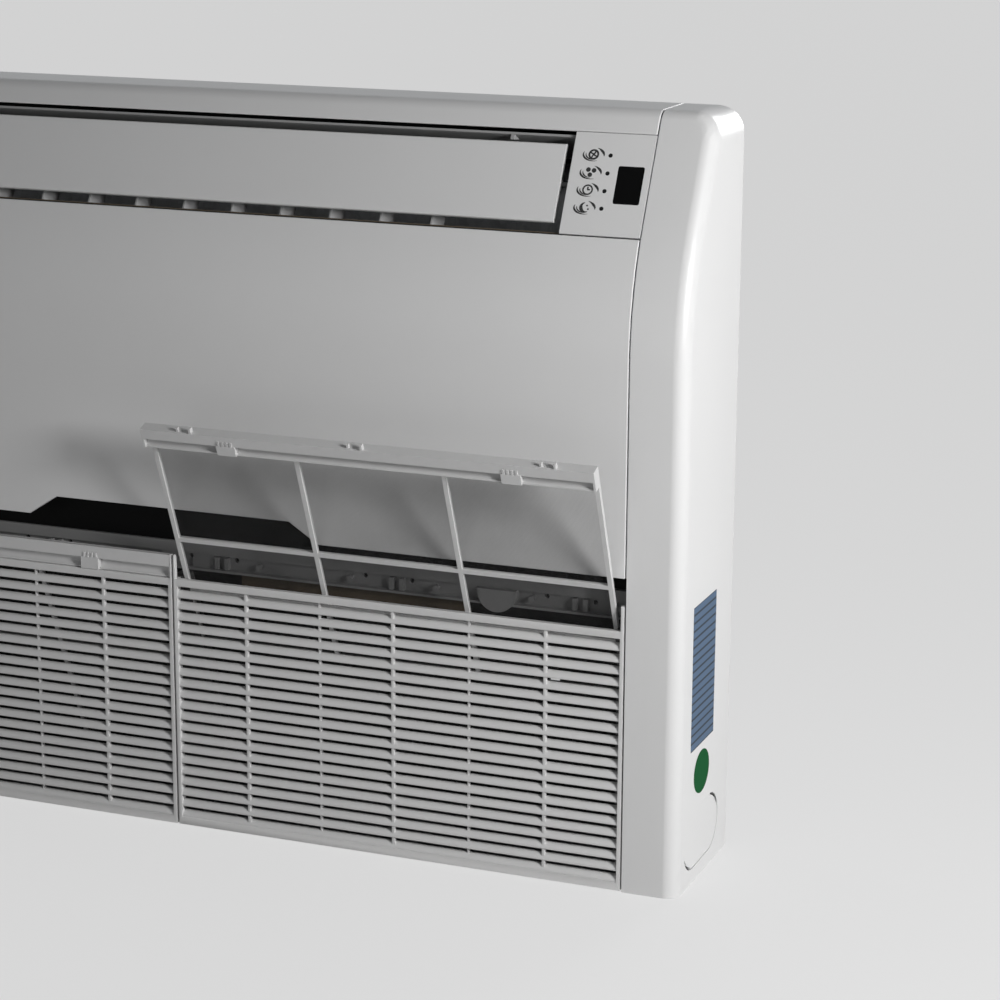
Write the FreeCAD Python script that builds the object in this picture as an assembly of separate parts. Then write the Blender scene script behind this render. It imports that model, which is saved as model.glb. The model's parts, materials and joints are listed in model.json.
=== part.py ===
import FreeCAD, Part
import math
import os
from FreeCAD import Vector

os.makedirs("parts", exist_ok=True)

# Driving sizes of the whole unit, in millimetres
height = 675.0
depth = 145.0
body_half = 436.0
cover_width = 50.7
skin = 2.5
sheet = 1.5
seam = 1.1
end_seam = 1.7
base_thick = 2.0
running = 0.05

# Front outline from the top down: slope that leans back, bend, then flat
lean = math.radians(27.5)
bend_r = 245.0
top_round = 14.0
rear_round = 11.0
outlet_drop = 60.75
flat_drop = 205.0

# End covers with pipe knock-outs
cover_wall = 3.0
edge_round = 14.0
corner_round = 24.0
knockout_d = 67.5
knockout_z = 40.5
knockout_half = 27.0
knockout_reach = 23.5
knockout_slot = 0.6
knockout_tab = 9.0
knockout_sink = 0.4
tab_sink = 1.0
slit_wide = 2.6
slit_from = 4.0
slit_low = 11.0

# Front panel, its notch and the filter slot below it
panel_drop = 390.0
slot_height = 47.0
notch_low = 146.5
notch_high = 118.0
notch_rise = 18.5

# Plates beside the outlet; runs are measured up the slope from the outlet's middle
plate_room = 73.5
plate_half = 45.6
plate_gap = 0.3
strip_gap = 0.7
window_margin = 5.6
window_width = 23.4
window_run = 16.9
window_sink = 0.15
window_round = 1.8
lamp_margin = 8.8
lamp_runs = (25.7, 9.7, -6.1, -21.7)
lamp_r = 1.9
lamp_sink = 0.05
board_gap = 2.0
board_thick = 1.6
board_half = 36.0
board_start = 6.0
board_end = 4.0

# Outlet duct
duct_wall = 2.0
duct_below = 2.1
duct_above = 4.1
duct_dip = 3.5
duct_front = 3.2
duct_inner = 46.0
cheek_turn = 30.0
duct_back = 58.0
lug_from_end = 58.0
lug_thick = 3.0
lug_front = 3.0
lug_back = 16.0
lug_drop = 4.9
foam_strip = 1.0
foam_front = 3.6
foam_back = 9.5

# Swinging outlet vane and its motor
vane_end = 7.5
vane_half_width = 35.25
vane_front = 2.0
vane_thick = 5.5
vane_round = 2.0
vane_axis = 7.0
vane_pin_r = 2.5
pin_short = 0.2
ear_width = 6.0
ear_half = 5.0
ear_inner = 3.0
ear_outer = 3.5
motor_reach = 10.0
stepper_offset = 9.5
stepper_gap = 3.5
stepper_r = 12.0
stepper_length = 18.0
stepper_boss_r = 4.2
stepper_foot_half = 15.0
stepper_foot_start = 15.0
stepper_foot_depth = 7.0
stepper_foot_thick = 1.5

# Air guide blades and their link bar
blade_count = 11
blade_end = 122.5
blade_lift = 1.0
blade_high = 4.0
blade_front = 14.0
blade_back = 40.0
blade_axis = 26.0
blade_thick = 1.6
blade_pin_r = 1.5
rail_gap = 1.5
rail_thick = 3.0
rail_half = 5.0
link_arm = 11.0
link_pin_r = 1.0
link_gap = 0.3
link_thick = 2.0
link_clear = 0.1
link_half = 4.5
link_over = 6.0
link_room = 0.37
blade_swing = math.radians(25.0)

# Intake grilles
grille_low = 1.0
grille_depth = 8.0
grille_top_depth = 5.0
grille_seam = 1.0
grille_frame = 3.5
grille_rail = 7.5
grille_head = 6.7
slat_count = 21
slat_front = 0.6
slat_rise = 4.6
slat_run = 5.2
slat_thick = 1.9
slat_crown = 1.1
slat_shift = -0.06
rib_width = 3.0
rib_front = 1.6
rib_back = 5.4
stay_width = 2.0
stay_front = 3.6
stay_back = 6.8
arm_high = 22.5
arm_inner = 1.6
arm_outer = 3.0
arm_depth = 5.0

# Air filters: flat frames that slide along a slope behind each grille
filter_lean = math.radians(22.0)
filter_fold_d = 12.5
filter_left = 7.0
filter_end = 9.0
filter_foot = 37.0
filter_top = 167.5
filter_thick = 4.0
filter_bar = 4.0
filter_travel = 142.0
rib_at = 41.0
runner_gap = 0.35
runner_thick = 2.0
runner_start = 3.0
handle_height = 19.0
handle_front = 9.0
handle_top = 2.2
handle_lip = 9.8
handle_over = 4.0
handle_lip_thick = 2.0
handle_step = 1.0
handle_cheek = 2.0
cove_edge = 1.2
cove_deep = 1.5
cove_lap = 1.0
cove_steps = 6
upright_high = 21.5
upright_lip = 11.0
upright_step = 2.5
upright_seat = 0.5
upright_start = 1.0
clip_width = 18.0
clip_parts = (0.165, 0.80)
clip_proud = 0.8
clip_deep = 4.0
clip_lap = 0.5
tooth_count = 4
tooth_pitch = 4.0
tooth_width = 1.8
tooth_high = 4.5
peg_parts = (0.075, 0.465, 0.885)
peg_high = 4.0
peg_thick = 2.0
peg_spacing = 13.0
peg_start = 4.3
peg_short = 3.0
peg_long = 4.4
tab_width = 8.0
tab_drop = 4.0
tab_proud = 1.0
net_thick = 0.6
net_columns = 9
net_rows = 3
net_gap = 1.2
net_clear = 0.1

# Guide walls of the filters, cross rail and foam behind the slot
wall_reach = 19.65
wall_top_reach = 18.0
wall_drop = 3.0
foam_height = 14.0
foam_depth = 10.0
foam_start = 54.0
foam_end = 275.0
cross_d = 33.0
cross_thick = 4.0
cross_lift = 2.5
cross_height = 24.5
band_high = 10.0
band_proud = 3.0
pad_width = 22.0
pad_from_end = 17.0
pad_from_middle = 5.0
pad_proud = 2.0
ledge_depth = 7.0
ledge_thick = 2.0
clasp_count = 5
clasp_left = 121.5
clasp_right = 51.5
fin_depth = 5.0
fin_thick = 4.0
fin_steps = (-6.0, 4.0)
fin_up = 2.5
fin_high = 11.0
hook_r = 2.6
hook_up = 8.5
hook_depth = 6.0
hook_steps = (-44.0, 39.0)
hole_steps = (-31.0, 14.5)
hole_up = 11.5
hole_r = 2.2
bump_from_end = 127.0
bump_up = 12.0
bump_r = 18.0
bump_depth = 9.0

# Drain pan and coil
pan_height = 33.0
pan_depth = 67.0
pan_wall = 2.0
pan_over_left = 8.0
pan_over_right = 6.0
spigot_in = 35.0
spigot_up = 10.0
spigot_r = 9.0
spigot_bore = 7.0
spigot_length = 22.0
coil_left_room = 41.0
coil_right_room = 71.0
coil_in = 15.0
coil_up = 14.0
coil_top_gap = 33.1
coil_back_gap = 20.5
coil_thick = 30.0
coil_edge = 2.0
foot_before = 9.0
foot_behind = 12.0
foot_above = 8.0
tube_r = 4.75
tube_end = 15.0
tube_count = 6
tube_row = 7.5
tube_out_left = 6.0
tube_out_right = 3.0
header_half = 7.0
header_wide = 14.0
header_long = 12.0
stub_r = 8.0
stub_long = 24.0
stub_sunk = 8.0

# Fan, its casing, motor and bearing
fan_back = 51.5
fan_drop = 160.0
fan_r = 40.0
fan_hub_r = 32.0
fan_left_room = 70.0
fan_right_room = 100.0
fan_blades = 28
disc_count = 6
disc_thick = 3.0
blade_inset = 1.0
shaft_r = 5.0
shaft_room = 32.0
shaft_free = 8.0
guide_gap = 7.0
tongue_step = 0.8
guide_back_gap = 6.5
guide_rise = 30.0
end_gap = 5.0
end_thick = 2.0
end_r = 48.5
end_lap = 3.0
end_foot = 15.0
end_head = 85.0
end_top = 20.0
guide_drop = 30.0
guide_turn = 15.6
guide_turn_drop = 16.0
guide_end = 4.1
guide_end_drop = 6.6
bearing_room = 38.0
bearing_r = 14.0
bearing_nose = 6.0
bearing_nose_r = 10.0
motor_gap = 12.0
motor_length = 60.0
motor_r = 36.0
motor_hub_r = 16.0
motor_hub = 3.0
motor_bore = 16.0
bracket_half = 34.0
bracket_thick = 2.0
bracket_arm = 32.0

# Electrical box with its terminal block
tray_room = 45.0
tray_up = 4.0
tray_height = 150.0
tray_front = 14.0
tray_back = 112.0
terminal_in = 6.0
terminal_width = 30.0
terminal_deep = 20.0
terminal_up = 28.0
terminal_high = 90.0
terminal_count = 6
terminal_pitch = 14.0
terminal_hole_r = 4.0
terminal_hole = 6.0

# Screws of the end covers
screw_in = 24.0
screw_low = 40.0
screw_high_drop = 35.0
screw_shares = (0.0, 0.267, 0.5, 0.8, 1.0)
screw_r = 1.6
screw_length = 6.0
screw_head_r = 3.6
screw_head = 1.6

# Wall fixing holes in the rear plate
wall_hole_r = 5.0
wall_span_x = 640.0
wall_span_z = 420.0
wall_mid_z = 350.0

# Bare film plate and round film mark on the right side
film_thick = 0.3
label_d = 32.0
label_width = 65.0
label_low = 125.0
label_high = 131.0
mark_d = 65.0
mark_z = 98.0
mark_wide = 22.0
mark_high = 19.6

# Places that follow from the sizes above
over = 1.0
front_y = -depth / 2
back_d = depth - sheet
panel_end = body_half - end_seam
plate_in = body_half - sheet
x_out = body_half + cover_width
flat_top = height - flat_drop
outlet_mid_z = height - outlet_drop
panel_low = height - panel_drop
panel_high = outlet_mid_z - plate_half * math.cos(lean) - seam
grille_high = panel_low - slot_height
outlet_half = body_half - plate_room
mid_d = bend_r * (1 - math.cos(lean)) + (outlet_mid_z - flat_top - bend_r * math.sin(lean)) * math.tan(lean)


def save(shape, name):
    shape.exportStep("parts/" + name + ".step")


def place(x, d, z):
    return Vector(x, front_y + d, z)


def box(x0, x1, d0, d1, z0, z1):
    return Part.makeBox(x1 - x0, d1 - d0, z1 - z0, place(x0, d0, z0))


def rod_x(x0, x1, d, z, r):
    return Part.makeCylinder(r, x1 - x0, place(x0, d, z), Vector(1, 0, 0))


def rod_y(x, z, d0, d1, r):
    return Part.makeCylinder(r, d1 - d0, place(x, d0, z), Vector(0, 1, 0))


def prism(points, x0, x1):
    corners = [place(x0, d, z) for d, z in points]
    face = Part.Face(Part.makePolygon(corners + corners[:1]))
    return face.extrude(Vector(x1 - x0, 0, 0))


def join(shapes):
    return shapes[0].multiFuse(shapes[1:]).removeSplitter()


# A point on the slope: run is measured up the slope, inset goes into the unit
def on_slope(run, inset):
    d = mid_d + run * math.sin(lean) + inset * math.cos(lean)
    z = outlet_mid_z + run * math.cos(lean) - inset * math.sin(lean)
    return d, z


def slope_block(x0, x1, run0, run1, inset0, inset1):
    corners = [(run0, inset0), (run1, inset0), (run1, inset1), (run0, inset1)]
    return prism([on_slope(run, inset) for run, inset in corners], x0, x1)


def slope_rod(x, inset, run0, run1, r):
    d, z = on_slope(run0, inset)
    return Part.makeCylinder(r, run1 - run0, place(x, d, z), Vector(0, math.sin(lean), math.cos(lean)))


# A point on the bend of the front outline at a given turn, moved inwards
def on_bend(turn, inset):
    r = bend_r - inset
    return bend_r - r * math.cos(turn), flat_top + r * math.sin(turn)


def bend_edge(turn0, turn1, inset, x):
    middle = (turn0 + turn1) / 2
    ends = [place(x, *on_bend(turn, inset)) for turn in (turn0, middle, turn1)]
    return Part.Arc(*ends).toShape()


def line(a, b, x):
    return Part.makeLine(place(x, *a), place(x, *b))


# Rounding between the slope and the flat top, moved inwards
def top_corner(inset, x):
    r = top_round - inset
    turn = math.pi / 2 - lean
    run = (height - outlet_mid_z) / math.cos(lean)
    reach = top_round * math.tan(turn / 2)
    d0, z0 = on_slope(run - reach, top_round)
    start = on_slope(run - reach, inset)
    end = (d0, height - inset)
    half = lean + turn / 2
    middle = (d0 - r * math.cos(half), z0 + r * math.sin(half))
    arc = Part.Arc(place(x, *start), place(x, *middle), place(x, *end)).toShape()
    return start, end, arc


# Rounding between the flat top and the back, moved inwards
def rear_corner(inset, x):
    r = rear_round - inset
    start = (depth - rear_round, height - inset)
    middle = (depth - rear_round + r * math.sin(math.pi / 4), height - rear_round + r * math.cos(math.pi / 4))
    end = (depth - inset, height - rear_round)
    arc = Part.Arc(place(x, *start), place(x, *middle), place(x, *end)).toShape()
    return start, end, arc


# Side outline of an end cover or side plate
def side_outline(inset, low, back, x):
    start, end, arc = top_corner(inset, x)
    edges = [line((inset, low), (inset, flat_top), x)]
    edges.append(bend_edge(0, lean, inset, x))
    edges.append(line(on_bend(lean, inset), start, x))
    edges.append(arc)
    rear_start, rear_end, rear_arc = rear_corner(inset, x)
    edges.append(line(end, rear_start, x))
    edges.append(rear_arc)
    if back > rear_end[0] + running:
        edges.append(line(rear_end, (back, rear_end[1]), x))
    edges.append(line((back, rear_end[1]), (back, low), x))
    edges.append(line((back, low), (inset, low), x))
    return Part.Face(Part.Wire(edges))


def round_outer(solid, x_out, radius, top_radius, inset, low):
    top = height - inset
    corner = Part.makeBox(top_radius, depth, top_radius, place(x_out - top_radius, 0, top - top_radius))
    keep = Part.makeCylinder(
        top_radius, depth, place(x_out - top_radius, 0, top - top_radius), Vector(0, 1, 0)
    )
    solid = solid.cut(corner.cut(keep))
    chain = []
    for edge in solid.Edges:
        near = edge.BoundBox
        on_side = near.XMax > x_out - top_radius - 0.01 and near.XMin > x_out - top_radius - 0.01
        is_long = edge.Length > 5.0
        flat_side = abs(near.XMin - x_out) < 0.01
        front = near.YMin < front_y + depth - 30 and near.ZMax > low + 1.0
        along_x = near.XLength > 40
        if on_side and is_long and flat_side and front and not along_x:
            bottom_edge = near.ZLength < 0.01 and near.ZMax < low + 1.0
            tangent = near.ZLength < 0.01 and near.ZMax > top - top_radius - 1.0
            if not bottom_edge and not tangent:
                chain.append(edge)
    return solid.makeFillet(radius, chain)


def cover_body(x_in, x_out, inset, low, radius, top_radius):
    face = side_outline(inset, low, depth - inset, x_in)
    solid = face.extrude(Vector(x_out - x_in, 0, 0))
    return round_outer(solid, x_out, radius, top_radius, inset, low)


def knockout_shape(grow, x0, x1):
    r = knockout_half + grow
    d0 = knockout_d - knockout_reach
    d1 = knockout_d + knockout_reach
    band = box(x0, x1, d0, d1, knockout_z - r, knockout_z + r)
    return join([band, rod_x(x0, x1, d0, knockout_z, r), rod_x(x0, x1, d1, knockout_z, r)])


def mirror_x(shape):
    return shape.mirror(Vector(0, 0, 0), Vector(1, 0, 0))


# A sunk screw in an end cover's back wall
def screw(x, z, grow):
    head = rod_y(x, z, depth - screw_head, depth + grow, screw_head_r + grow)
    shank = rod_y(x, z, depth - cover_wall - screw_length, depth - screw_head, screw_r + grow)
    return join([head, shank])


# End covers with a knock-out for the pipes
screw_x = body_half + screw_in
screw_span = height - screw_high_drop - screw_low
screw_zs = [screw_low + screw_span * share for share in screw_shares]
shell = cover_body(body_half, x_out, 0.0, 0.0, edge_round, corner_round)
hollow = cover_body(
    body_half, x_out - cover_wall, cover_wall, cover_wall, edge_round - cover_wall, corner_round - cover_wall
)
end_cover = shell.cut(hollow)
end_cover = end_cover.cut(knockout_shape(0, x_out - 2 * cover_wall, x_out + over))
for z in screw_zs:
    end_cover = end_cover.cut(screw(screw_x, z, running))
save(end_cover, "end_cover_right")
save(mirror_x(end_cover), "end_cover_left")

blank = knockout_shape(-knockout_slot, x_out - cover_wall, x_out - knockout_sink)
blank_tabs = []
for side in (-1, 1):
    tab = box(
        x_out - cover_wall,
        x_out - tab_sink,
        knockout_d - knockout_tab / 2,
        knockout_d + knockout_tab / 2,
        knockout_z + side * (knockout_half - knockout_slot / 2) - knockout_slot / 2,
        knockout_z + side * (knockout_half - knockout_slot / 2) + knockout_slot / 2,
    )
    blank_tabs.append(tab)
blank = join([blank] + blank_tabs)
slit_x0 = x_out - 2 * cover_wall
rim = knockout_shape(0, slit_x0, x_out).cut(knockout_shape(-slit_wide, slit_x0, x_out))
slit_reach = knockout_half + over
for side in (-1, 1):
    end_d = knockout_d + side * knockout_reach
    d0, d1 = sorted((end_d + side * slit_from, end_d + side * slit_reach))
    z0, z1 = sorted((knockout_z + side * slit_low, knockout_z + side * slit_reach))
    blank = blank.cut(rim.common(box(slit_x0, x_out, d0, d1, z0, z1)))
save(Part.makeCompound([blank, mirror_x(blank)]), "knockout_blanks")

# Sheet metal frame
side_plate = side_outline(skin, 0.0, back_d, plate_in).extrude(Vector(sheet, 0, 0))
side_plate = side_plate.cut(box(0, body_half + over, 0, grille_depth, -over, panel_low))
save(side_plate, "side_plate_right")
save(mirror_x(side_plate), "side_plate_left")
rear_plate = box(-body_half, body_half, back_d, depth, 0, height - rear_round)
for sx in (-1, 1):
    for sz in (-1, 1):
        hole_z = wall_mid_z + sz * wall_span_z / 2
        hole = rod_y(sx * wall_span_x / 2, hole_z, back_d - over, depth + over, wall_hole_r)
        rear_plate = rear_plate.cut(hole)
save(rear_plate, "rear_plate")
base_plate = box(-plate_in, plate_in, grille_depth, back_d, 0, base_thick)
save(base_plate, "base_plate")

# Front panel, with the notch above the filters
lip_turn = math.asin((panel_high - flat_top) / bend_r)
panel_edges = [line((0, panel_low), (0, flat_top), -panel_end)]
panel_edges.append(bend_edge(0, lip_turn, 0, -panel_end))
panel_edges.append(line(on_bend(lip_turn, 0), on_bend(lip_turn, skin), -panel_end))
panel_edges.append(bend_edge(lip_turn, 0, skin, -panel_end))
panel_edges.append(line((skin, flat_top), (skin, panel_low), -panel_end))
panel_edges.append(line((skin, panel_low), (0, panel_low), -panel_end))
front_panel = Part.Face(Part.Wire(panel_edges)).extrude(Vector(2 * panel_end, 0, 0))
notch = [
    place(-notch_low, -over, panel_low - over),
    place(notch_low, -over, panel_low - over),
    place(notch_low, -over, panel_low),
    place(notch_high, -over, panel_low + notch_rise),
    place(-notch_high, -over, panel_low + notch_rise),
    place(-notch_low, -over, panel_low),
]
notch_face = Part.Face(Part.makePolygon(notch + notch[:1]))
front_panel = front_panel.cut(notch_face.extrude(Vector(0, skin + 2 * over, 0)))
save(front_panel, "front_panel")

# Top cover with the strip above the outlet
strip_start = plate_half + strip_gap
outer_start, outer_end, outer_arc = top_corner(0, -panel_end)
inner_start, inner_end, inner_arc = top_corner(skin, -panel_end)
top_edges = [line(on_slope(strip_start, 0), outer_start, -panel_end), outer_arc]
rear_start, rear_end, rear_arc = rear_corner(0, -panel_end)
under_start, under_end, under_arc = rear_corner(skin, -panel_end)
top_edges += [line(outer_end, rear_start, -panel_end), rear_arc]
top_edges += [line(rear_end, under_end, -panel_end), under_arc]
top_edges.append(line(under_start, inner_end, -panel_end))
top_edges.append(inner_arc)
top_edges.append(line(inner_start, on_slope(strip_start, skin), -panel_end))
top_edges.append(line(on_slope(strip_start, skin), on_slope(strip_start, 0), -panel_end))
top_cover = Part.Face(Part.Wire(top_edges)).extrude(Vector(2 * panel_end, 0, 0))
save(top_cover, "top_cover")

# Control plate on the right of the outlet, blank plate on the left
window_x1 = panel_end - window_margin
window_x0 = window_x1 - window_width
lamp_x = window_x0 - lamp_margin
slope_in = Vector(0, math.cos(lean), -math.sin(lean))
plate_x0 = outlet_half + plate_gap


def window_block(inset0, inset1):
    block = slope_block(window_x0, window_x1, -window_run, window_run, inset0, inset1)
    corners = [edge for edge in block.Edges if abs(edge.Length - inset1 + inset0) < 0.01]
    return block.makeFillet(window_round, corners)


control_plate = slope_block(plate_x0, panel_end, -plate_half, plate_half, 0, skin)
blank_plate = mirror_x(control_plate)
save(blank_plate, "blank_plate_left")
control_plate = control_plate.cut(window_block(-over, skin + over))
for run in lamp_runs:
    d, z = on_slope(run, -over)
    lamp_hole = Part.makeCylinder(lamp_r, skin + 2 * over, place(lamp_x, d, z), slope_in)
    control_plate = control_plate.cut(lamp_hole)
save(control_plate, "control_plate")
board_front = skin + board_gap
save(window_block(window_sink, board_front), "display_window")
lamps = []
for run in lamp_runs:
    d, z = on_slope(run, lamp_sink)
    lamps.append(Part.makeCylinder(lamp_r, board_front - lamp_sink, place(lamp_x, d, z), slope_in))
save(Part.makeCompound(lamps), "indicator_lamps")
board_x0 = plate_x0 + board_start
board_x1 = plate_in - board_end
board = slope_block(board_x0, board_x1, -board_half, board_half, board_front, board_front + board_thick)
save(board, "control_board")

# Outlet duct: lower wall, upper wall, blade rail, cheeks and two small lugs
duct_low = duct_below - plate_half
duct_high = plate_half - duct_above
duct_top = duct_high + duct_wall
blade_first = blade_end - outlet_half
blade_pitch = -2 * blade_first / (blade_count - 1)
blade_xs = [blade_first + blade_pitch * i for i in range(blade_count)]
rail_low = blade_high + rail_gap
rail_high = rail_low + rail_thick
cheek_out = outlet_half + duct_wall


def wall_low(inset):
    return duct_low - duct_dip * (duct_inner - inset) / (duct_inner - duct_front)


def above_wall(inset0, inset1, up0, up1):
    corners = [(wall_low(inset0) + up0, inset0), (wall_low(inset1) + up0, inset1)]
    corners += [(wall_low(inset1) + up1, inset1), (wall_low(inset0) + up1, inset0)]
    return prism([on_slope(run, inset) for run, inset in corners], -outlet_half, outlet_half)


lower_wall = above_wall(duct_front, duct_inner, 0, duct_wall)
rail_front = blade_axis - rail_half
rail_back = blade_axis + rail_half
blade_rail = slope_block(-outlet_half, outlet_half, rail_low, rail_high, rail_front, rail_back)
for x in blade_xs:
    pin_hole = slope_rod(x, blade_axis, -plate_half - over, rail_high + over, blade_pin_r + running)
    lower_wall = lower_wall.cut(pin_hole)
    blade_rail = blade_rail.cut(pin_hole)
upper_wall = slope_block(-outlet_half, outlet_half, duct_high, duct_top, duct_front, duct_back)
cheek_corners = [(-plate_half, skin), (duct_top, skin), (duct_top, duct_inner), (duct_low, duct_inner)]
cheek_corners.append((duct_low, cheek_turn))
cheek = prism([on_slope(run, inset) for run, inset in cheek_corners], outlet_half, cheek_out)
pin_d, pin_z = on_slope(0, vane_axis)
cheek = cheek.cut(rod_x(outlet_half - over, cheek_out + over, pin_d, pin_z, vane_pin_r + running))
duct = [lower_wall, blade_rail, upper_wall, cheek, mirror_x(cheek)]
lug_x = outlet_half - lug_from_end
lug_corners = [(duct_high, lug_front), (duct_high, lug_back), (duct_high - lug_drop, lug_front)]
lug_outline = [on_slope(run, inset) for run, inset in lug_corners]
lug = prism(lug_outline, lug_x - lug_thick / 2, lug_x + lug_thick / 2)
duct += [lug, mirror_x(lug)]
save(join(duct), "outlet_duct")
save(above_wall(foam_front, foam_back, duct_wall, duct_wall + foam_strip), "outlet_foam")

# Outlet vane with its pins
vane_half_length = outlet_half - vane_end
vane_back = vane_front + vane_thick
vane = slope_block(
    -vane_half_length, vane_half_length, -vane_half_width, vane_half_width, vane_front, vane_back
)
vane_long = [edge for edge in vane.Edges if edge.Length > 2 * vane_half_length - 1]
vane = vane.makeFillet(vane_round, vane_long)
ear_x = vane_half_length - ear_width
ear = slope_block(ear_x, vane_half_length, -ear_half, ear_half, vane_front + ear_inner, vane_axis + ear_outer)
pin_right = rod_x(vane_half_length - over, cheek_out - pin_short, pin_d, pin_z, vane_pin_r)
pin_left = rod_x(-cheek_out - motor_reach, over - vane_half_length, pin_d, pin_z, vane_pin_r)
save(join([vane, ear, mirror_x(ear), pin_right, pin_left]), "outlet_vane")

# Stepper motor of the vane, with an off-centre shaft socket
can_d, can_z = on_slope(0, vane_axis + stepper_offset)
motor_x = -cheek_out - stepper_gap
can = rod_x(motor_x - stepper_length, motor_x, can_d, can_z, stepper_r)
boss = rod_x(motor_x - stepper_length, -cheek_out, pin_d, pin_z, stepper_boss_r)
socket = rod_x(-cheek_out - motor_reach - over, 0, pin_d, pin_z, vane_pin_r + running)
foot_low = vane_axis + stepper_foot_start
foot_high = foot_low + stepper_foot_depth
foot_x = motor_x - stepper_foot_thick
feet = slope_block(foot_x, -cheek_out, -stepper_foot_half, stepper_foot_half, foot_low, foot_high)
save(join([can, boss, feet]).cut(socket), "vane_motor")

# Air guide blades and their link bar
blade_up = duct_wall + blade_lift
pin_low = wall_low(blade_axis)
blade_outline = [(wall_low(inset) + blade_up, inset) for inset in (blade_front, blade_back)]
blade_outline += [(blade_high, blade_back), (blade_high, blade_front)]
link_low = rail_high + link_gap
link_high = link_low + link_thick
sunk = 2 * over
for i, x in enumerate(blade_xs):
    x0 = x - blade_thick / 2
    plate = prism([on_slope(run, inset) for run, inset in blade_outline], x0, x0 + blade_thick)
    stub_low = slope_rod(x, blade_axis, pin_low, pin_low + blade_up + sunk, blade_pin_r)
    stub_high = slope_rod(x, blade_axis, blade_high - sunk, rail_high, blade_pin_r)
    peg = slope_rod(x, blade_axis + link_arm, blade_high - sunk, link_high, link_pin_r)
    save(join([plate, stub_low, stub_high, peg]), "guide_blade_%02d" % (i + 1))
link_x = blade_xs[-1] + link_over
link_mid = blade_axis + link_arm
link = slope_block(-link_x, link_x, link_low, link_high, link_mid - link_half, link_mid + link_half)
slot_half = link_pin_r + link_clear
slot_front = link_mid - link_arm * (1 - math.cos(blade_swing)) - link_pin_r - link_room
slot_back = link_mid + link_pin_r + link_room
for x in blade_xs:
    slot = slope_block(x - slot_half, x + slot_half, link_low - over, link_high + over, slot_front, slot_back)
    link = link.cut(slot)
save(link, "blade_link")

# Intake grilles
grille_x0 = grille_seam
grille_x1 = panel_end
field_low = grille_low + grille_rail
field_high = grille_high - grille_head
slat_pitch = (field_high - field_low) / slat_count
grille = [box(grille_x0, grille_x1, 0, grille_depth, grille_low, field_low)]
grille.append(box(grille_x0, grille_x1, 0, grille_top_depth, field_high, grille_high))
grille.append(box(grille_x0, grille_x0 + grille_frame, 0, grille_depth, grille_low, grille_high))
grille.append(box(grille_x1 - grille_frame, grille_x1, 0, grille_depth, grille_low, grille_high))
arm_top = grille_high + arm_high
for x0, x1 in ((grille_x0, grille_x0 + arm_inner), (grille_x1 - arm_outer, grille_x1)):
    grille.append(box(x0, x1, 0, arm_depth, grille_high - over, arm_top))
slat_turn = math.atan2(slat_rise, slat_run)
for i in range(slat_count):
    z = field_low + slat_pitch * (i + slat_shift)
    corners = [(slat_front, z), (slat_front, z + slat_thick)]
    for share in (1 / 3, 2 / 3):
        crown_d = slat_front + slat_run * share - slat_crown * math.sin(slat_turn)
        crown_z = z + slat_thick + slat_rise * share + slat_crown * math.cos(slat_turn)
        corners.append((crown_d, crown_z))
    corners.append((slat_front + slat_run, z + slat_thick + slat_rise))
    corners.append((slat_front + slat_run, z + slat_rise))
    grille.append(prism(corners, grille_x0 + over, grille_x1 - over))
grille_width = grille_x1 - grille_x0
for part in (1, 3, 5):
    x = grille_x0 + grille_width * part / 6
    grille.append(box(x - rib_width / 2, x + rib_width / 2, rib_front, rib_back, grille_low, grille_high))
for part in (2, 4):
    x = grille_x0 + grille_width * part / 6
    grille.append(box(x - stay_width / 2, x + stay_width / 2, stay_front, stay_back, grille_low, grille_high))
grille = join(grille)
save(grille, "intake_grille_right")
save(mirror_x(grille), "intake_grille_left")


# A point on the filter slope: run goes up from the fold, out comes forward
def on_filter(run, out):
    d = filter_fold_d - run * math.sin(filter_lean) - out * math.cos(filter_lean)
    z = grille_high + run * math.cos(filter_lean) - out * math.sin(filter_lean)
    return d, z


def filter_block(x0, x1, run0, run1, out0, out1):
    corners = [(run0, out0), (run1, out0), (run1, out1), (run0, out1)]
    return prism([on_filter(run, out) for run, out in corners], x0, x1)


# The hollow of a finger grip, from its deep top edge to its front edge, bending inwards
def cove(start, end):
    du = end[0] - start[0]
    dv = end[1] - start[1]
    size = math.hypot(du, dv)
    points = []
    for i in range(cove_steps + 1):
        t = i / cove_steps
        bend = 4 * cove_deep * t * (1 - t) / size
        points.append((start[0] + du * t - dv * bend, start[1] + dv * t + du * bend))
    return points


# Filter frame with its handle, drawn pulled out
half = filter_thick / 2
filter_right = plate_in - filter_end
filter_bottom = filter_travel - (grille_high - filter_foot) / math.cos(filter_lean)
filter_width = filter_right - filter_left
handle_low = filter_top - handle_height
inner_front = handle_front - handle_step
rib_mid = (filter_bottom + rib_at) / 2
bay = (filter_width - filter_bar) / 3
bars = []
for i in range(4):
    x = filter_left + bay * i
    bars.append(filter_block(x, x + filter_bar, filter_bottom, handle_low + over, -half, half))
for run in (filter_bottom, rib_mid, rib_at):
    bars.append(filter_block(filter_left, filter_right, run, run + filter_bar, -half, half))
tab_x = (filter_left + filter_right) / 2
tab_back = net_thick / 2 + net_clear
tab_front = half + tab_proud
tab_x1 = tab_x + tab_width
bars.append(filter_block(tab_x, tab_x1, handle_low - tab_drop, handle_low + over, tab_back, tab_front))
clip_xs = [filter_left + filter_width * part for part in clip_parts]
handle_x0 = filter_left - handle_over
cheek_xs = (handle_x0, filter_right - handle_cheek)
tooth_steps = [tooth_width + tooth * tooth_pitch for tooth in range(tooth_count)]

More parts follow.
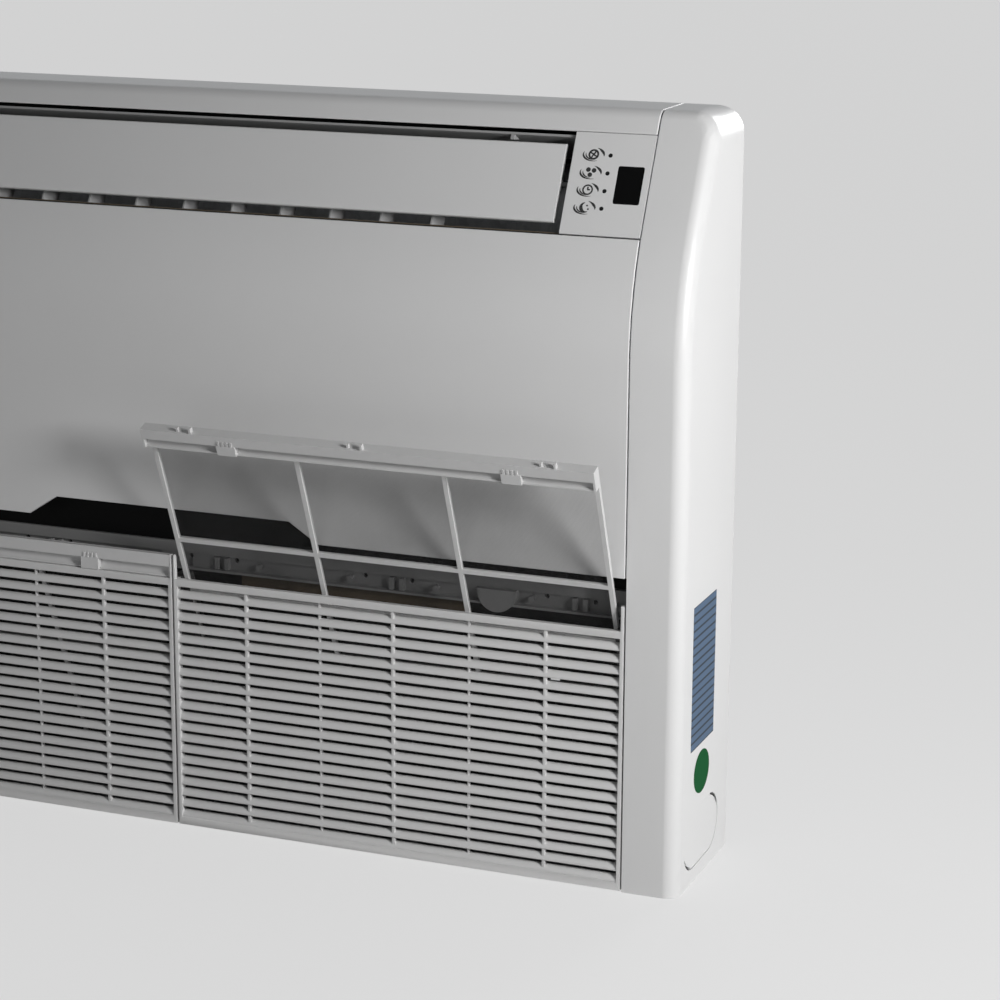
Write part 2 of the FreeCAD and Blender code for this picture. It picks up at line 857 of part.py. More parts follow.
# Handle of the right filter, square to the frame
lip_front = handle_front - handle_lip_thick
top_low = filter_top - handle_top
handle = [filter_block(handle_x0, filter_right, top_low, filter_top, -half, handle_front)]
handle.append(filter_block(handle_x0, filter_right, handle_low, filter_top, -half, half))
lip_low = filter_top - handle_lip
handle.append(filter_block(handle_x0, filter_right, lip_low, filter_top, lip_front, handle_front))
grip = [on_filter(handle_low, inner_front), on_filter(handle_low, 0), on_filter(lip_low, 0)]
grip += cove(on_filter(lip_low, half), on_filter(handle_low + cove_edge, inner_front))
handle.append(prism(grip, handle_x0, filter_right))
for x in cheek_xs:
    handle.append(filter_block(x, x + handle_cheek, handle_low, filter_top, -half, handle_front))
clip_high = lip_low + clip_lap
clip_front = handle_front + clip_proud
clip_back = inner_front - clip_deep
tooth_top = clip_high + tooth_high
tooth_back = handle_front - over
for x in clip_xs:
    handle.append(filter_block(x, x + clip_width, handle_low, clip_high, clip_back, clip_front))
    for step in tooth_steps:
        tx = x + step
        handle.append(filter_block(tx, tx + tooth_width, clip_high - over, tooth_top, tooth_back, clip_front))
peg_low = filter_top - over
peg_top = filter_top + peg_high
for part in peg_parts:
    x = filter_left + filter_width * part
    x2 = x + peg_spacing
    handle.append(filter_block(x, x + peg_thick, peg_low, peg_top, peg_start, peg_start + peg_short))
    handle.append(filter_block(x2, x2 + peg_thick, peg_low, peg_top + over, peg_start, peg_start + peg_long))
filter_frame = join(bars + handle)

# Handle of the left filter, upright and flush with the grille's front
seat_z = grille_high + upright_seat
upright_z = seat_z + upright_high
home_d = on_filter(upright_start, half)[0]
home_run = handle_low - filter_travel
top_run = (upright_z - grille_high - half * math.sin(filter_lean)) / math.cos(filter_lean)
top_d = on_filter(top_run, 0)[0]
hollow_z = upright_z - upright_lip
hollow_run = (hollow_z - grille_high + half * math.sin(filter_lean)) / math.cos(filter_lean)
hollow_d = on_filter(hollow_run, half)[0]
grip_high = hollow_z + clip_lap
grip_back = upright_step + clip_deep
teeth_high = grip_high + tooth_high
upright = [filter_block(handle_x0, filter_right, home_run, top_run, -half, half)]
upright.append(box(handle_x0, filter_right, 0, top_d, upright_z - handle_top, upright_z))
upright.append(box(handle_x0, filter_right, 0, handle_lip_thick, hollow_z, upright_z))
upright_grip = [(upright_step, seat_z), (home_d, seat_z), (hollow_d + cove_lap, hollow_z)]
upright_grip += cove((hollow_d, hollow_z), (upright_step, seat_z + cove_edge))
upright.append(prism(upright_grip, handle_x0, filter_right))
cheek_outline = [(upright_step, seat_z), (home_d, seat_z), (top_d, upright_z), (0, upright_z)]
for x in cheek_xs:
    upright.append(prism(cheek_outline, x, x + handle_cheek))
for x in clip_xs:
    upright.append(box(x, x + clip_width, -clip_proud, grip_back, seat_z, grip_high))
    for step in tooth_steps:
        tx = x + step
        upright.append(box(tx, tx + tooth_width, -clip_proud, over, grip_high - over, teeth_high))

# Filter net: one holed sheet in each bay, inside the frame's thickness
bars_at = (filter_bottom, rib_mid, rib_at)
tops_at = (rib_mid, rib_at, handle_low)
nets = []
for i in range(3):
    x0 = filter_left + bay * i + filter_bar
    x1 = filter_left + bay * (i + 1)
    for bar_at, high in zip(bars_at, tops_at):
        low = bar_at + filter_bar
        sheet_net = filter_block(x0, x1, low, high, -net_thick / 2, net_thick / 2)
        step_x = (x1 - x0) / net_columns
        step_r = (high - low) / net_rows
        holes = []
        for column in range(net_columns):
            for row in range(net_rows):
                hx0 = x0 + step_x * column + net_gap / 2
                hx1 = x0 + step_x * (column + 1) - net_gap / 2
                hr0 = low + step_r * row + net_gap / 2
                hr1 = low + step_r * (row + 1) - net_gap / 2
                holes.append(filter_block(hx0, hx1, hr0, hr1, -net_thick, net_thick))
        nets.append(sheet_net.cut(holes))
filter_net = Part.makeCompound(nets)

# The right filter stands pulled out, the left one is pushed home
push = Vector(0, filter_travel * math.sin(filter_lean), -filter_travel * math.cos(filter_lean))
save(filter_frame, "filter_frame_right")
save(filter_net, "filter_net_right")
left_frame = mirror_x(join([bar.translated(push) for bar in bars] + upright))
left_net = mirror_x(filter_net)
left_net.translate(push)
save(left_frame, "filter_frame_left")
save(left_net, "filter_net_left")

# Guide walls at both ends of each filter, and the cross rail seen through the slot
home_bottom = filter_bottom - filter_travel
wall_back = filter_fold_d - home_bottom * math.sin(filter_lean) + wall_reach
wall_outline = [
    (grille_depth, base_thick),
    (wall_back, base_thick),
    (wall_back, filter_foot - wall_drop),
    (filter_fold_d + wall_top_reach, grille_high),
    (grille_depth, grille_high),
]
runner_low = home_bottom - runner_thick
runner_high = -runner_start


def runners(x0, x1):
    near = half + runner_gap
    front = filter_block(x0, x1, runner_low, runner_high, near, near + runner_thick)
    back = filter_block(x0, x1, runner_low, runner_high, -near - runner_thick, -near)
    return [front, back]


wall_half = filter_left - over - runner_gap
middle_runners = runners(wall_half - over, filter_left + filter_bar - over)
middle_wall = [prism(wall_outline, -wall_half, wall_half)] + middle_runners
middle_wall += [mirror_x(runner) for runner in middle_runners]
save(join(middle_wall), "guide_wall_middle")
outer_wall = prism(wall_outline, filter_right + runner_gap, plate_in)
outer_runners = runners(filter_right - filter_bar + over, filter_right + runner_gap + over)
outer_wall = join([outer_wall] + outer_runners)
save(outer_wall, "guide_wall_right")
save(mirror_x(outer_wall), "guide_wall_left")
cross_low = grille_high + cross_lift
cross_high = cross_low + cross_height
cross_back = cross_d + cross_thick
clasp_pitch = (2 * plate_in - clasp_left - clasp_right) / (clasp_count - 1)
clasp_xs = [clasp_left - plate_in + clasp_pitch * i for i in range(clasp_count)]
cross_rail = [box(-plate_in, plate_in, cross_d, cross_back, cross_low, cross_high)]
ledge_high = cross_low + ledge_thick
cross_rail.append(box(-plate_in, plate_in, cross_d - ledge_depth, cross_d, cross_low, ledge_high))
band_low = cross_high - band_high
band_d = cross_d - band_proud
cross_rail.append(box(-plate_in, plate_in, band_d, cross_d + over, band_low, cross_high))
pad_d = cross_d - pad_proud
for x in (pad_from_middle, plate_in - pad_from_end - pad_width):
    pad = box(x, x + pad_width, pad_d, cross_d + over, cross_low, band_low + over)
    cross_rail += [pad, mirror_x(pad)]
fin_low = cross_low + fin_up
fin_front = cross_d - fin_depth
hook_front = cross_d - hook_depth
for x in clasp_xs:
    for step in fin_steps:
        fin_x1 = x + step + fin_thick
        cross_rail.append(box(x + step, fin_x1, fin_front, cross_d + over, fin_low, fin_low + fin_high))
    for step in hook_steps:
        cross_rail.append(rod_y(x + step, cross_low + hook_up, hook_front, cross_d + over, hook_r))
bump_x = plate_in - bump_from_end
bump_d = cross_d - bump_depth
bump = rod_y(bump_x, cross_low + bump_up, bump_d, cross_d, bump_r)
cross_rail.append(bump.common(box(-plate_in, plate_in, 0, depth, 0, band_low)))
cross_rail = join(cross_rail)
for x in clasp_xs:
    for step in hole_steps:
        rail_hole = rod_y(x + step, cross_low + hole_up, pad_d - over, cross_back + over, hole_r)
        cross_rail = cross_rail.cut(rail_hole)
save(cross_rail, "cross_rail")
foam_back_d = cross_d + foam_depth
intake_foam = box(foam_start, foam_end, cross_d, foam_back_d, cross_low - foam_height, cross_low)
save(Part.makeCompound([intake_foam, mirror_x(intake_foam)]), "intake_foam")

# Drain pan with its outlet spigot
coil_left = coil_left_room - body_half
coil_right = body_half - coil_right_room
pan_low = cross_high
pan_high = pan_low + pan_height
pan_front = cross_d
pan_back = pan_front + pan_depth
pan_x0 = coil_left - pan_over_left
pan_x1 = coil_right + pan_over_right
pan_floor = pan_low + pan_wall
pan = box(pan_x0, pan_x1, pan_front, pan_back, pan_low, pan_high)
trough_x0 = pan_x0 + pan_wall
trough_x1 = pan_x1 - pan_wall
trough = box(trough_x0, trough_x1, pan_front + pan_wall, pan_back - pan_wall, pan_floor, pan_high + over)
pan = pan.cut(trough)
spigot_d = pan_front + spigot_in
spigot_z = pan_low + spigot_up
spigot = rod_x(pan_x0 - spigot_length, pan_x0 + over, spigot_d, spigot_z, spigot_r)
pan = join([pan, spigot])
pan = pan.cut(rod_x(pan_x0 - spigot_length - over, pan_x0 + pan_wall + over, spigot_d, spigot_z, spigot_bore))
save(pan, "drain_pan")
coil_foot_d = pan_front + coil_in
coil_foot_z = pan_high + coil_up
fan_d = back_d - fan_back
fan_z = height - fan_drop
coil_rise = fan_z - fan_r - coil_top_gap - coil_foot_z
coil_run = back_d - coil_back_gap - coil_foot_d
coil_lean = math.atan2(coil_run, coil_rise)
coil_length = math.hypot(coil_run, coil_rise)
tube_pitch = (coil_length - 2 * tube_end) / (tube_count - 1)


# Coil: fin block, tubes, end plates and header, all along one slope
def on_coil(run, out):
    d = coil_foot_d + run * math.sin(coil_lean) - out * math.cos(coil_lean)
    z = coil_foot_z + run * math.cos(coil_lean) + out * math.sin(coil_lean)
    return d, z


def coil_block(x0, x1, run0, run1, out0, out1):
    corners = [(run0, out0), (run1, out0), (run1, out1), (run0, out1)]
    return prism([on_coil(run, out) for run, out in corners], x0, x1)


tube_runs = [coil_length / 2 + tube_pitch * (i - (tube_count - 1) / 2) for i in range(tube_count)]
fins = coil_block(coil_left, coil_right, 0, coil_length, -coil_thick / 2, coil_thick / 2)
left_end = coil_left - sheet
right_end = coil_right + sheet
plate_top = coil_length + coil_edge
end_plate = coil_block(coil_right, right_end, -coil_edge, plate_top, -coil_thick / 2, coil_thick / 2)
foot_d0 = coil_foot_d - foot_before
foot_d1 = coil_foot_d + foot_behind
coil_foot = box(coil_right, right_end, foot_d0, foot_d1, pan_floor, coil_foot_z + foot_above)
end_plate = join([end_plate, coil_foot])
end_left = end_plate.translated(Vector(left_end - coil_right, 0, 0))
serpentines = []
bend_left = left_end - tube_out_left
bend_right = right_end + tube_out_right
coil_out = Vector(0, -math.cos(coil_lean), math.sin(coil_lean))
for side in (-1, 1):
    pieces = []
    for run in tube_runs:
        d, z = on_coil(run, side * tube_row)
        hole = rod_x(left_end - over, right_end + over, d, z, tube_r + running)
        fins = fins.cut(hole)
        end_plate = end_plate.cut(hole)
        end_left = end_left.cut(hole)
        pieces.append(rod_x(bend_left, bend_right, d, z, tube_r))
    for i in range(tube_count - 1):
        run = (tube_runs[i] + tube_runs[i + 1]) / 2
        d, z = on_coil(run, side * tube_row)
        x = bend_right if i % 2 == 0 else bend_left
        ring = Part.makeTorus(tube_pitch / 2, tube_r, place(x, d, z), coil_out)
        reach = tube_pitch if i % 2 == 0 else -tube_pitch
        half_space = box(min(x, x + reach), max(x, x + reach), 0, depth, 0, height)
        pieces.append(ring.common(half_space))
    serpentines.append(join(pieces))
save(fins, "coil_fins")
save(Part.makeCompound(serpentines), "coil_tubes")
save(end_plate, "coil_plate_right")
save(end_left, "coil_plate_left")
header = []
for run in (tube_runs[0], tube_runs[-1]):
    d, z = on_coil(run, 0)
    header_x = bend_left - header_long
    run0 = run - header_half
    run1 = run + header_half
    header.append(coil_block(header_x, bend_left, run0, run1, -header_wide, header_wide))
    stub_end = header_x + stub_sunk
    header.append(rod_x(stub_end - stub_long, stub_end, d, z, stub_r))
save(Part.makeCompound([join(header[:2]), join(header[2:])]), "coil_header")

# Fan casing: rear guide, tongue and two end plates
fan_left = fan_left_room - body_half
fan_right = body_half - fan_right_room
far_x = fan_left - end_gap - end_thick
near_x = fan_right + end_gap


def by_fan(r, turn):
    angle = math.radians(turn)
    return fan_d + r * math.cos(angle), fan_z + r * math.sin(angle)


duct_end_d, duct_end_z = on_slope(duct_top, duct_back)
guide_back = back_d - guide_back_gap
guide_pts = [by_fan(fan_r + guide_gap, turn) for turn in range(-50, 21, 10)]
guide_pts.append((guide_back, fan_z + guide_rise))
guide_pts.append((guide_back, duct_end_z - guide_drop))
guide_pts.append((duct_end_d + guide_turn, duct_end_z - guide_turn_drop))
guide_pts.append((duct_end_d + guide_end, duct_end_z - guide_end_drop))
inner_pts = [(d - sheet, z - seam / 4) for d, z in guide_pts]
rear_guide = prism(guide_pts + inner_pts[::-1], far_x + over, near_x + end_thick)
tongue_low = fan_r + guide_gap + tongue_step
tongue_pts = [by_fan(fan_r + guide_gap - tongue_step, 125.7), by_fan(tongue_low, 156.4)]
tongue_pts += [by_fan(tongue_low + end_thick, 155.9), by_fan(tongue_low + sheet, 126.6)]
tongue = prism(tongue_pts, far_x + over, near_x + end_thick)
end_low = end_r - end_lap
plate_pts = [by_fan(end_r, 174), by_fan(end_r, 232), by_fan(end_r, 304), (back_d, fan_z - end_foot)]
plate_pts += [(back_d, fan_z + end_head), (fan_d + end_top, fan_z + end_head), by_fan(end_low, 125)]
wing_pts = [by_fan(end_r, 174), by_fan(end_r + end_lap, 156), by_fan(end_low, 122), by_fan(fan_hub_r, 119)]
end_near = join([prism(plate_pts, near_x, near_x + end_thick), prism(wing_pts, near_x, near_x + end_thick)])
end_far = end_near.translated(Vector(far_x - near_x, 0, 0))
shaft_gap = rod_x(far_x - over, near_x + end_thick + over, fan_d, fan_z, shaft_r + shaft_free)
casing = join([rear_guide, tongue, end_near, end_far]).cut(shaft_gap)
save(casing, "fan_casing")

# Fan wheel: discs, curved blades and shaft
wheel = []
for i in range(disc_count):
    x = fan_left + (fan_right - fan_left - disc_thick) * i / (disc_count - 1)
    wheel.append(rod_x(x, x + disc_thick, fan_d, fan_z, fan_r))
vane_tip = fan_r - seam / 2
for i in range(fan_blades):
    turn = 360.0 * i / fan_blades
    corners = [by_fan(fan_hub_r, turn), by_fan(vane_tip, turn + 8.0)]
    corners += [by_fan(vane_tip, turn + 9.7), by_fan(fan_hub_r, turn + 2.6)]
    wheel.append(prism(corners, fan_left + blade_inset, fan_right - blade_inset))
motor_face = fan_right + motor_gap
motor_end = motor_face + motor_length
shaft_left = shaft_room - body_half
wheel.append(rod_x(shaft_left, motor_face + motor_bore, fan_d, fan_z, shaft_r))
save(join(wheel), "fan_wheel")
bearing_x = bearing_room - body_half
nose_x = bearing_x + bearing_nose
bearing = join([
    rod_x(-plate_in, bearing_x, fan_d, fan_z, bearing_r),
    rod_x(bearing_x, nose_x, fan_d, fan_z, bearing_nose_r),
])
bearing = bearing.cut(rod_x(shaft_left - over, nose_x + over, fan_d, fan_z, shaft_r + running))
save(bearing, "fan_bearing")
hub_front = motor_face - motor_hub
hub_back = motor_end + motor_hub
motor = join([
    rod_x(motor_face, motor_end, fan_d, fan_z, motor_r),
    rod_x(hub_front, hub_back, fan_d, fan_z, motor_hub_r),
])
motor = motor.cut(rod_x(hub_front - over, motor_face + motor_bore + over, fan_d, fan_z, shaft_r + running))
save(motor, "fan_motor")
arm_d0 = fan_d - bracket_half
arm_d1 = fan_d + bracket_half
face_back = hub_back + bracket_thick
bracket = [box(hub_back, face_back, arm_d0, arm_d1, fan_z - bracket_half, fan_z + bracket_half)]
for side in (-1, 1):
    z = fan_z + side * bracket_arm
    bracket.append(box(hub_back, plate_in, arm_d0, arm_d1, z - bracket_thick, z + bracket_thick))
save(join(bracket), "motor_bracket")

# Electrical box with its terminal block
tray_x = body_half - tray_room
tray_low = pan_high + tray_up
tray_high = tray_low + tray_height
tray = box(tray_x, plate_in, tray_front, tray_back, tray_low, tray_high)
inside = box(tray_x + sheet, plate_in - sheet, 0, tray_back - sheet, tray_low + sheet, tray_high - sheet)
tray = tray.cut(inside)
save(tray, "electrical_box")
terminal_x = tray_x + terminal_in
terminal_d = tray_back - terminal_deep
terminal_z = tray_low + terminal_up
terminal_top = terminal_z + terminal_high
terminal_x1 = terminal_x + terminal_width
terminal = box(terminal_x, terminal_x1, terminal_d, tray_back - sheet, terminal_z, terminal_top)
first_z = (terminal_z + terminal_top - terminal_pitch * (terminal_count - 1)) / 2
for i in range(terminal_count):
    z = first_z + terminal_pitch * i
    hole_end = terminal_d + terminal_hole
    hole_x = (terminal_x + terminal_x1) / 2
    wire_hole = rod_y(hole_x, z, terminal_d - over, hole_end, terminal_hole_r)
    terminal = terminal.cut(wire_hole)
save(terminal, "terminal_block")

# Screws of the panel and covers
screws = []
for side in (-1, 1):
    for z in screw_zs:
        screws.append(screw(side * screw_x, z, 0))
save(Part.makeCompound(screws), "cover_screws")

# Bare plates for the rating label and the round mark on the right side
label = box(x_out, x_out + film_thick, label_d, label_d + label_width, label_low, label_low + label_high)
save(label, "label_plate")
oval = Part.Ellipse(
    place(x_out, mark_d + mark_wide, mark_z),
    place(x_out, mark_d, mark_z + mark_high),
    place(x_out, mark_d, mark_z),
)
oval_face = Part.Face(Part.Wire([oval.toShape()]))
save(oval_face.extrude(Vector(film_thick, 0, 0)), "round_sticker")
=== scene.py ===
import json
import math

import bmesh
import bpy
from mathutils import Matrix, Vector


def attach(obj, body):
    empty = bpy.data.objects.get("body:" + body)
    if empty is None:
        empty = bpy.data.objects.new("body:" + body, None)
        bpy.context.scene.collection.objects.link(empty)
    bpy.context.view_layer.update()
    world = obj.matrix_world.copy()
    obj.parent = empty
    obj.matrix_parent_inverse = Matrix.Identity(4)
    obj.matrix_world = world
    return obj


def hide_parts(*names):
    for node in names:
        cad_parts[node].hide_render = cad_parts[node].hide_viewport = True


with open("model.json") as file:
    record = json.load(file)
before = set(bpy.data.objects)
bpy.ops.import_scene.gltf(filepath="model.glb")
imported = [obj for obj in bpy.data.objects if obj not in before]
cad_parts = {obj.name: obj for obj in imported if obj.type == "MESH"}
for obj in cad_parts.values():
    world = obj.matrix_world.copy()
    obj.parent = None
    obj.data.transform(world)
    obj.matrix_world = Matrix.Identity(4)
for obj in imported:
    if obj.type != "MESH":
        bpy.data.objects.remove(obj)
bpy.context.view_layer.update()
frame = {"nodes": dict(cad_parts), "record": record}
nodes = frame["nodes"]
slotOf = {part["node"]: part["material_slot"] for part in frame["record"]["subparts"]}
bodyOf = {n: b for b, members in frame["record"]["behaviour"]["bodies"].items() for n in members}
print("frame loaded:", len(nodes), "nodes")

# lengths shared with the CAD, in metres
casing = {
    "depth": 0.145, "lean": math.radians(27.5), "outletMidZ": 0.61425, "bendR": 0.245, "flatTop": 0.470,
}
frontY = -casing["depth"] / 2
slopeMidD = casing["bendR"] * (1 - math.cos(casing["lean"])) + (
    casing["outletMidZ"] - casing["flatTop"] - casing["bendR"] * math.sin(casing["lean"])
) * math.tan(casing["lean"])
slopeCos, slopeSin = math.cos(casing["lean"]), math.sin(casing["lean"])
filterPath = {"lean": math.radians(22.0), "foldD": 0.0125, "foldZ": 0.238, "travel": 0.142}
filterCos, filterSin = math.cos(filterPath["lean"]), math.sin(filterPath["lean"])


def onSlope(x, run, inset):  # a point of the outlet slope, inset goes inwards
    y = frontY + slopeMidD + run * slopeSin + inset * slopeCos
    return Vector((x, y, casing["outletMidZ"] + run * slopeCos - inset * slopeSin))


def onFilter(x, run, out):  # a point of the pulled-out filter, out comes forward
    y = frontY + filterPath["foldD"] - run * filterSin - out * filterCos
    return Vector((x, y, filterPath["foldZ"] + run * filterCos - out * filterSin))


class Wire:  # one socket of a node tree, with maths
    def __init__(self, tree, socket=None):
        self.tree = tree
        self.socket = socket

    def node(self, kind, settings=None, inputs=None, out=0):
        made = self.tree.nodes.new(kind)
        for key, value in (settings or {}).items():
            setattr(made, key, value)
        for key, value in (inputs or {}).items():
            if isinstance(value, Wire):
                self.tree.links.new(value.socket, made.inputs[key])
            elif value is not None:
                made.inputs[key].default_value = value
        return Wire(self.tree, made.outputs[out])

    def maths(self, operation, other=None, swapped=False):
        pair = (other, self) if swapped else (self, other)
        inputs = {i: v for i, v in enumerate(pair) if v is not None}
        return self.node("ShaderNodeMath", {"operation": operation}, inputs)

    def __add__(self, other):
        return self.maths("ADD", other)

    def __sub__(self, other):
        return self.maths("SUBTRACT", other)

    def __mul__(self, other):
        return self.maths("MULTIPLY", other)

    def __rsub__(self, other):
        return self.maths("SUBTRACT", other, True)

    __radd__ = __add__
    __rmul__ = __mul__

    def above(self, level):
        return self.maths("GREATER_THAN", level)

    def most(self, other):
        return self.maths("MAXIMUM", other)


def mix(wire, factor, a, b):  # colours; the node's sockets share names, so they go by number
    return wire.node("ShaderNodeMix", {"data_type": "RGBA"}, {0: factor, 6: a, 7: b}, 2)


def rgb(r, g, b):
    return (r, g, b, 1.0)


def grey(level, warm=0.0):
    return (level * (1 + warm), level, level * (1 - warm), 1.0)


def startMaterial(name):
    mat = bpy.data.materials.new(name)
    mat.use_nodes = True
    tree = mat.node_tree
    shader = tree.nodes["Principled BSDF"]
    wire = Wire(tree)
    coords = wire.node("ShaderNodeTexCoord", out="Object")
    return mat, tree, shader, wire, coords


def feed(tree, shader, name, value):
    if isinstance(value, Wire):
        tree.links.new(value.socket, shader.inputs[name])
    else:
        shader.inputs[name].default_value = value


noiseMid = 0.5  # the level that a noise texture wanders about


def noise(wire, coords, scale, detail, rough=0.5):
    return wire.node(
        "ShaderNodeTexNoise", {"noise_dimensions": "3D"},
        {"Vector": coords, "Scale": scale, "Detail": detail, "Roughness": rough},
    )


def axisOf(wire, coords, axis):
    return wire.node("ShaderNodeSeparateXYZ", None, {"Vector": coords}, axis)


def ramped(wire, value, low, high):  # 0 below low, 1 above high, smooth between
    settings = {"interpolation_type": "SMOOTHSTEP"}
    return wire.node("ShaderNodeMapRange", settings, {"Value": value, "From Min": low, "From Max": high})


def stripes(wire, coords, axis, pitch, share):  # 1 on the stripe, 0 between
    saw = (axisOf(wire, coords, axis) * (1.0 / pitch)).maths("FRACT")
    return saw.maths("LESS_THAN", share)


def bumped(wire, height, strength, deep):
    return wire.node("ShaderNodeBump", None, {"Strength": strength, "Distance": deep, "Height": height})


# what a moulded plastic has unless its own look says otherwise
plasticSkin = {
    "driftScale": 6.0, "roughDrift": 0.08, "gloss": 0.5,
    "dustScale": 90.0, "dustFrom": 0.45, "dust": 0.25, "dustRough": 0.2,
    "skinScale": 900.0, "skinDeep": 0.0002, "bump": 0.08, "runFade": 0.001,
}


def moulded(name, ownLook):  # moulded plastic: faint tone drift, dust and a fine skin
    look = {**plasticSkin, **ownLook}
    mat, tree, shader, wire, coords = startMaterial(name)
    drift = noise(wire, coords, look["driftScale"], detail=2.0)
    dust = noise(wire, coords, look["dustScale"], detail=4.0, rough=0.6)
    skin = noise(wire, coords, look["skinScale"], detail=2.0)
    dusty = (dust - look["dustFrom"]).most(0.0) * look["dust"]
    tone = mix(wire, drift, look["low"], look["high"])
    if "other" in look:  # a second tone where the slope runs past a level
        run = axisOf(wire, coords, 1) * look["runY"] + axisOf(wire, coords, 2) * look["runZ"]
        past = ramped(wire, run, look["runAt"], look["runAt"] + look["runFade"])
        tone = mix(wire, past, tone, look["other"])
    feed(tree, shader, "Base Color", mix(wire, dusty, tone, look.get("dustTone", look["low"])))
    drifted = look["rough"] + (drift - noiseMid) * look["roughDrift"]
    feed(tree, shader, "Roughness", drifted + dusty * look["dustRough"])
    feed(tree, shader, "Normal", bumped(wire, skin, look["bump"], look["skinDeep"]))
    shader.inputs["Specular IOR Level"].default_value = look["gloss"]
    return mat


whiteAbs = moulded("whiteAbs", {
    "low": grey(0.715, 0.003), "high": grey(0.745, 0.003), "rough": 0.34, "roughDrift": 0.03,
    "dust": 0.03, "bump": 0.03,
})
grilleAbs = moulded("grilleAbs", {
    "low": grey(0.66, 0.006), "high": grey(0.71, 0.006), "rough": 0.38,
    "dust": 0.35, "dustTone": grey(0.52, 0.02),
})
filterAbs = moulded("filterAbs", {
    "low": grey(0.62, 0.004), "high": grey(0.68, 0.004), "rough": 0.42,
    "dust": 0.3, "dustTone": grey(0.48, 0.02), "bump": 0.12,
})
# pale rail moulding painted dark grey: its shade behind the net and panel is painted in
railShadeGrey = moulded("railShadeGrey", {
    "low": grey(0.23, 0.004), "high": grey(0.28, 0.004), "rough": 0.5,
    "dust": 0.5, "dustTone": grey(0.2, 0.03), "bump": 0.2,
})
# grey inner plastic, painted near-black with the shade inside the casing
innerShadeGrey = moulded("innerShadeGrey", {
    "low": grey(0.05), "high": grey(0.07), "rough": 0.6,
    "dust": 0.5, "dustTone": grey(0.11, 0.03), "bump": 0.2,
})
ductLip = 0.030  # up to here on the outlet slope the duct is painted near-black as shade, and above it mid-grey, its white upper wall with painted shade
ductShadeTone = moulded("ductShadeTone", {
    "low": grey(0.006), "high": grey(0.010), "rough": 0.55, "gloss": 0.2,
    "dust": 0.2, "dustTone": grey(0.03, 0.03), "bump": 0.15,
    "other": grey(0.34), "runY": slopeSin, "runZ": slopeCos,
    "runAt": onSlope(0, ductLip, 0).dot(Vector((0, slopeSin, slopeCos))),
})
# white plastic guide blades painted mid-grey: their shade inside the outlet is painted in
bladeShadeGrey = moulded("bladeShadeGrey", {
    "low": grey(0.40), "high": grey(0.46), "rough": 0.45,
    "dust": 0.4, "dustTone": grey(0.3, 0.03), "bump": 0.15,
})
fanBlack = moulded("fanBlack", {
    "low": grey(0.016), "high": grey(0.026), "rough": 0.45,
    "dust": 0.5, "dustTone": grey(0.1, 0.03), "bump": 0.15,
})
panBlack = moulded("panBlack", {
    "low": grey(0.002), "high": grey(0.004), "rough": 0.6, "gloss": 0.08,
    "dust": 0.1, "dustTone": grey(0.01, 0.03), "bump": 0.1,
})
creamPlastic = moulded("creamPlastic", {
    "low": rgb(0.55, 0.52, 0.42), "high": rgb(0.62, 0.59, 0.48), "rough": 0.45, "bump": 0.1,
})
lampLens = moulded("lampLens", {
    "low": grey(0.006), "high": grey(0.01), "rough": 0.2, "bump": 0.0, "gloss": 0.15,
})
symbolInk = moulded("symbolInk", {"low": grey(0.006), "high": grey(0.012), "rough": 0.5, "bump": 0.05})
motorEnamel = moulded("motorEnamel", {"low": grey(0.02), "high": grey(0.035), "rough": 0.35, "bump": 0.2})


def zincSheet(name, look):  # galvanised sheet with spangle; where asked, its inner face is painted near-black as the shade inside the casing
    mat, tree, shader, wire, coords = startMaterial(name)
    cells = wire.node("ShaderNodeTexVoronoi", None, {"Vector": coords, "Scale": look["spangle"]}, "Color")
    patch = wire.node("ShaderNodeSeparateColor", None, {"Color": cells})
    streak = noise(wire, coords, look["streakScale"], detail=4.0)
    tone = mix(wire, patch, look["low"], look["high"])
    metal = 1.0
    rough = look["rough"] + patch * look["roughPatch"] + (streak - noiseMid) * look["roughStreak"]
    if "shadedBelow" in look:
        bare = axisOf(wire, coords, 1).above(look["shadedBelow"])
        tone = mix(wire, bare, look["insideShade"], tone)
        metal = bare
        rough = rough * bare + (1 - bare) * look["insideShadeRough"]
    feed(tree, shader, "Base Color", tone)
    feed(tree, shader, "Roughness", rough)
    feed(tree, shader, "Metallic", metal)
    return mat


zincTone = {
    "spangle": 190.0, "low": rgb(0.50, 0.51, 0.52), "high": rgb(0.60, 0.61, 0.62), "streakScale": 40.0,
    "rough": 0.44, "roughPatch": 0.08, "roughStreak": 0.1,
}
zinc = zincSheet("zinc", zincTone)
# inside the casing the plate is painted near-black, as painted shade
insideShade = {"shadedBelow": 0.0712, "insideShade": grey(0.012), "insideShadeRough": 0.9}
insideShadedZinc = zincSheet("insideShadedZinc", {**zincTone, **insideShade})


def metalWork(name, look):  # drawn or turned metal with fine streaks and stains
    mat, tree, shader, wire, coords = startMaterial(name)
    stretched = wire.node("ShaderNodeMapping", None, {"Vector": coords, "Scale": look["stretch"]})
    streak = noise(wire, stretched, look["scale"], detail=3.0)
    stain = noise(wire, coords, look["stainScale"], detail=3.0)
    feed(tree, shader, "Base Color", mix(wire, streak * 0.5 + stain * 0.5, look["low"], look["high"]))
    feed(tree, shader, "Roughness", look["rough"] + (streak - noiseMid) * look["roughStreak"])
    shader.inputs["Metallic"].default_value = 1.0
    return mat


screwSteel = metalWork("screwSteel", {
    "stretch": (1, 1, 1), "scale": 500.0, "stainScale": 14.0, "rough": 0.35, "roughStreak": 0.15,
    "low": rgb(0.45, 0.45, 0.44), "high": rgb(0.62, 0.61, 0.58),
})
copper = metalWork("copper", {
    "stretch": (0.05, 1, 1), "scale": 400.0, "stainScale": 14.0, "rough": 0.3, "roughStreak": 0.15,
    "low": rgb(0.42, 0.19, 0.11), "high": rgb(0.68, 0.36, 0.24),
})


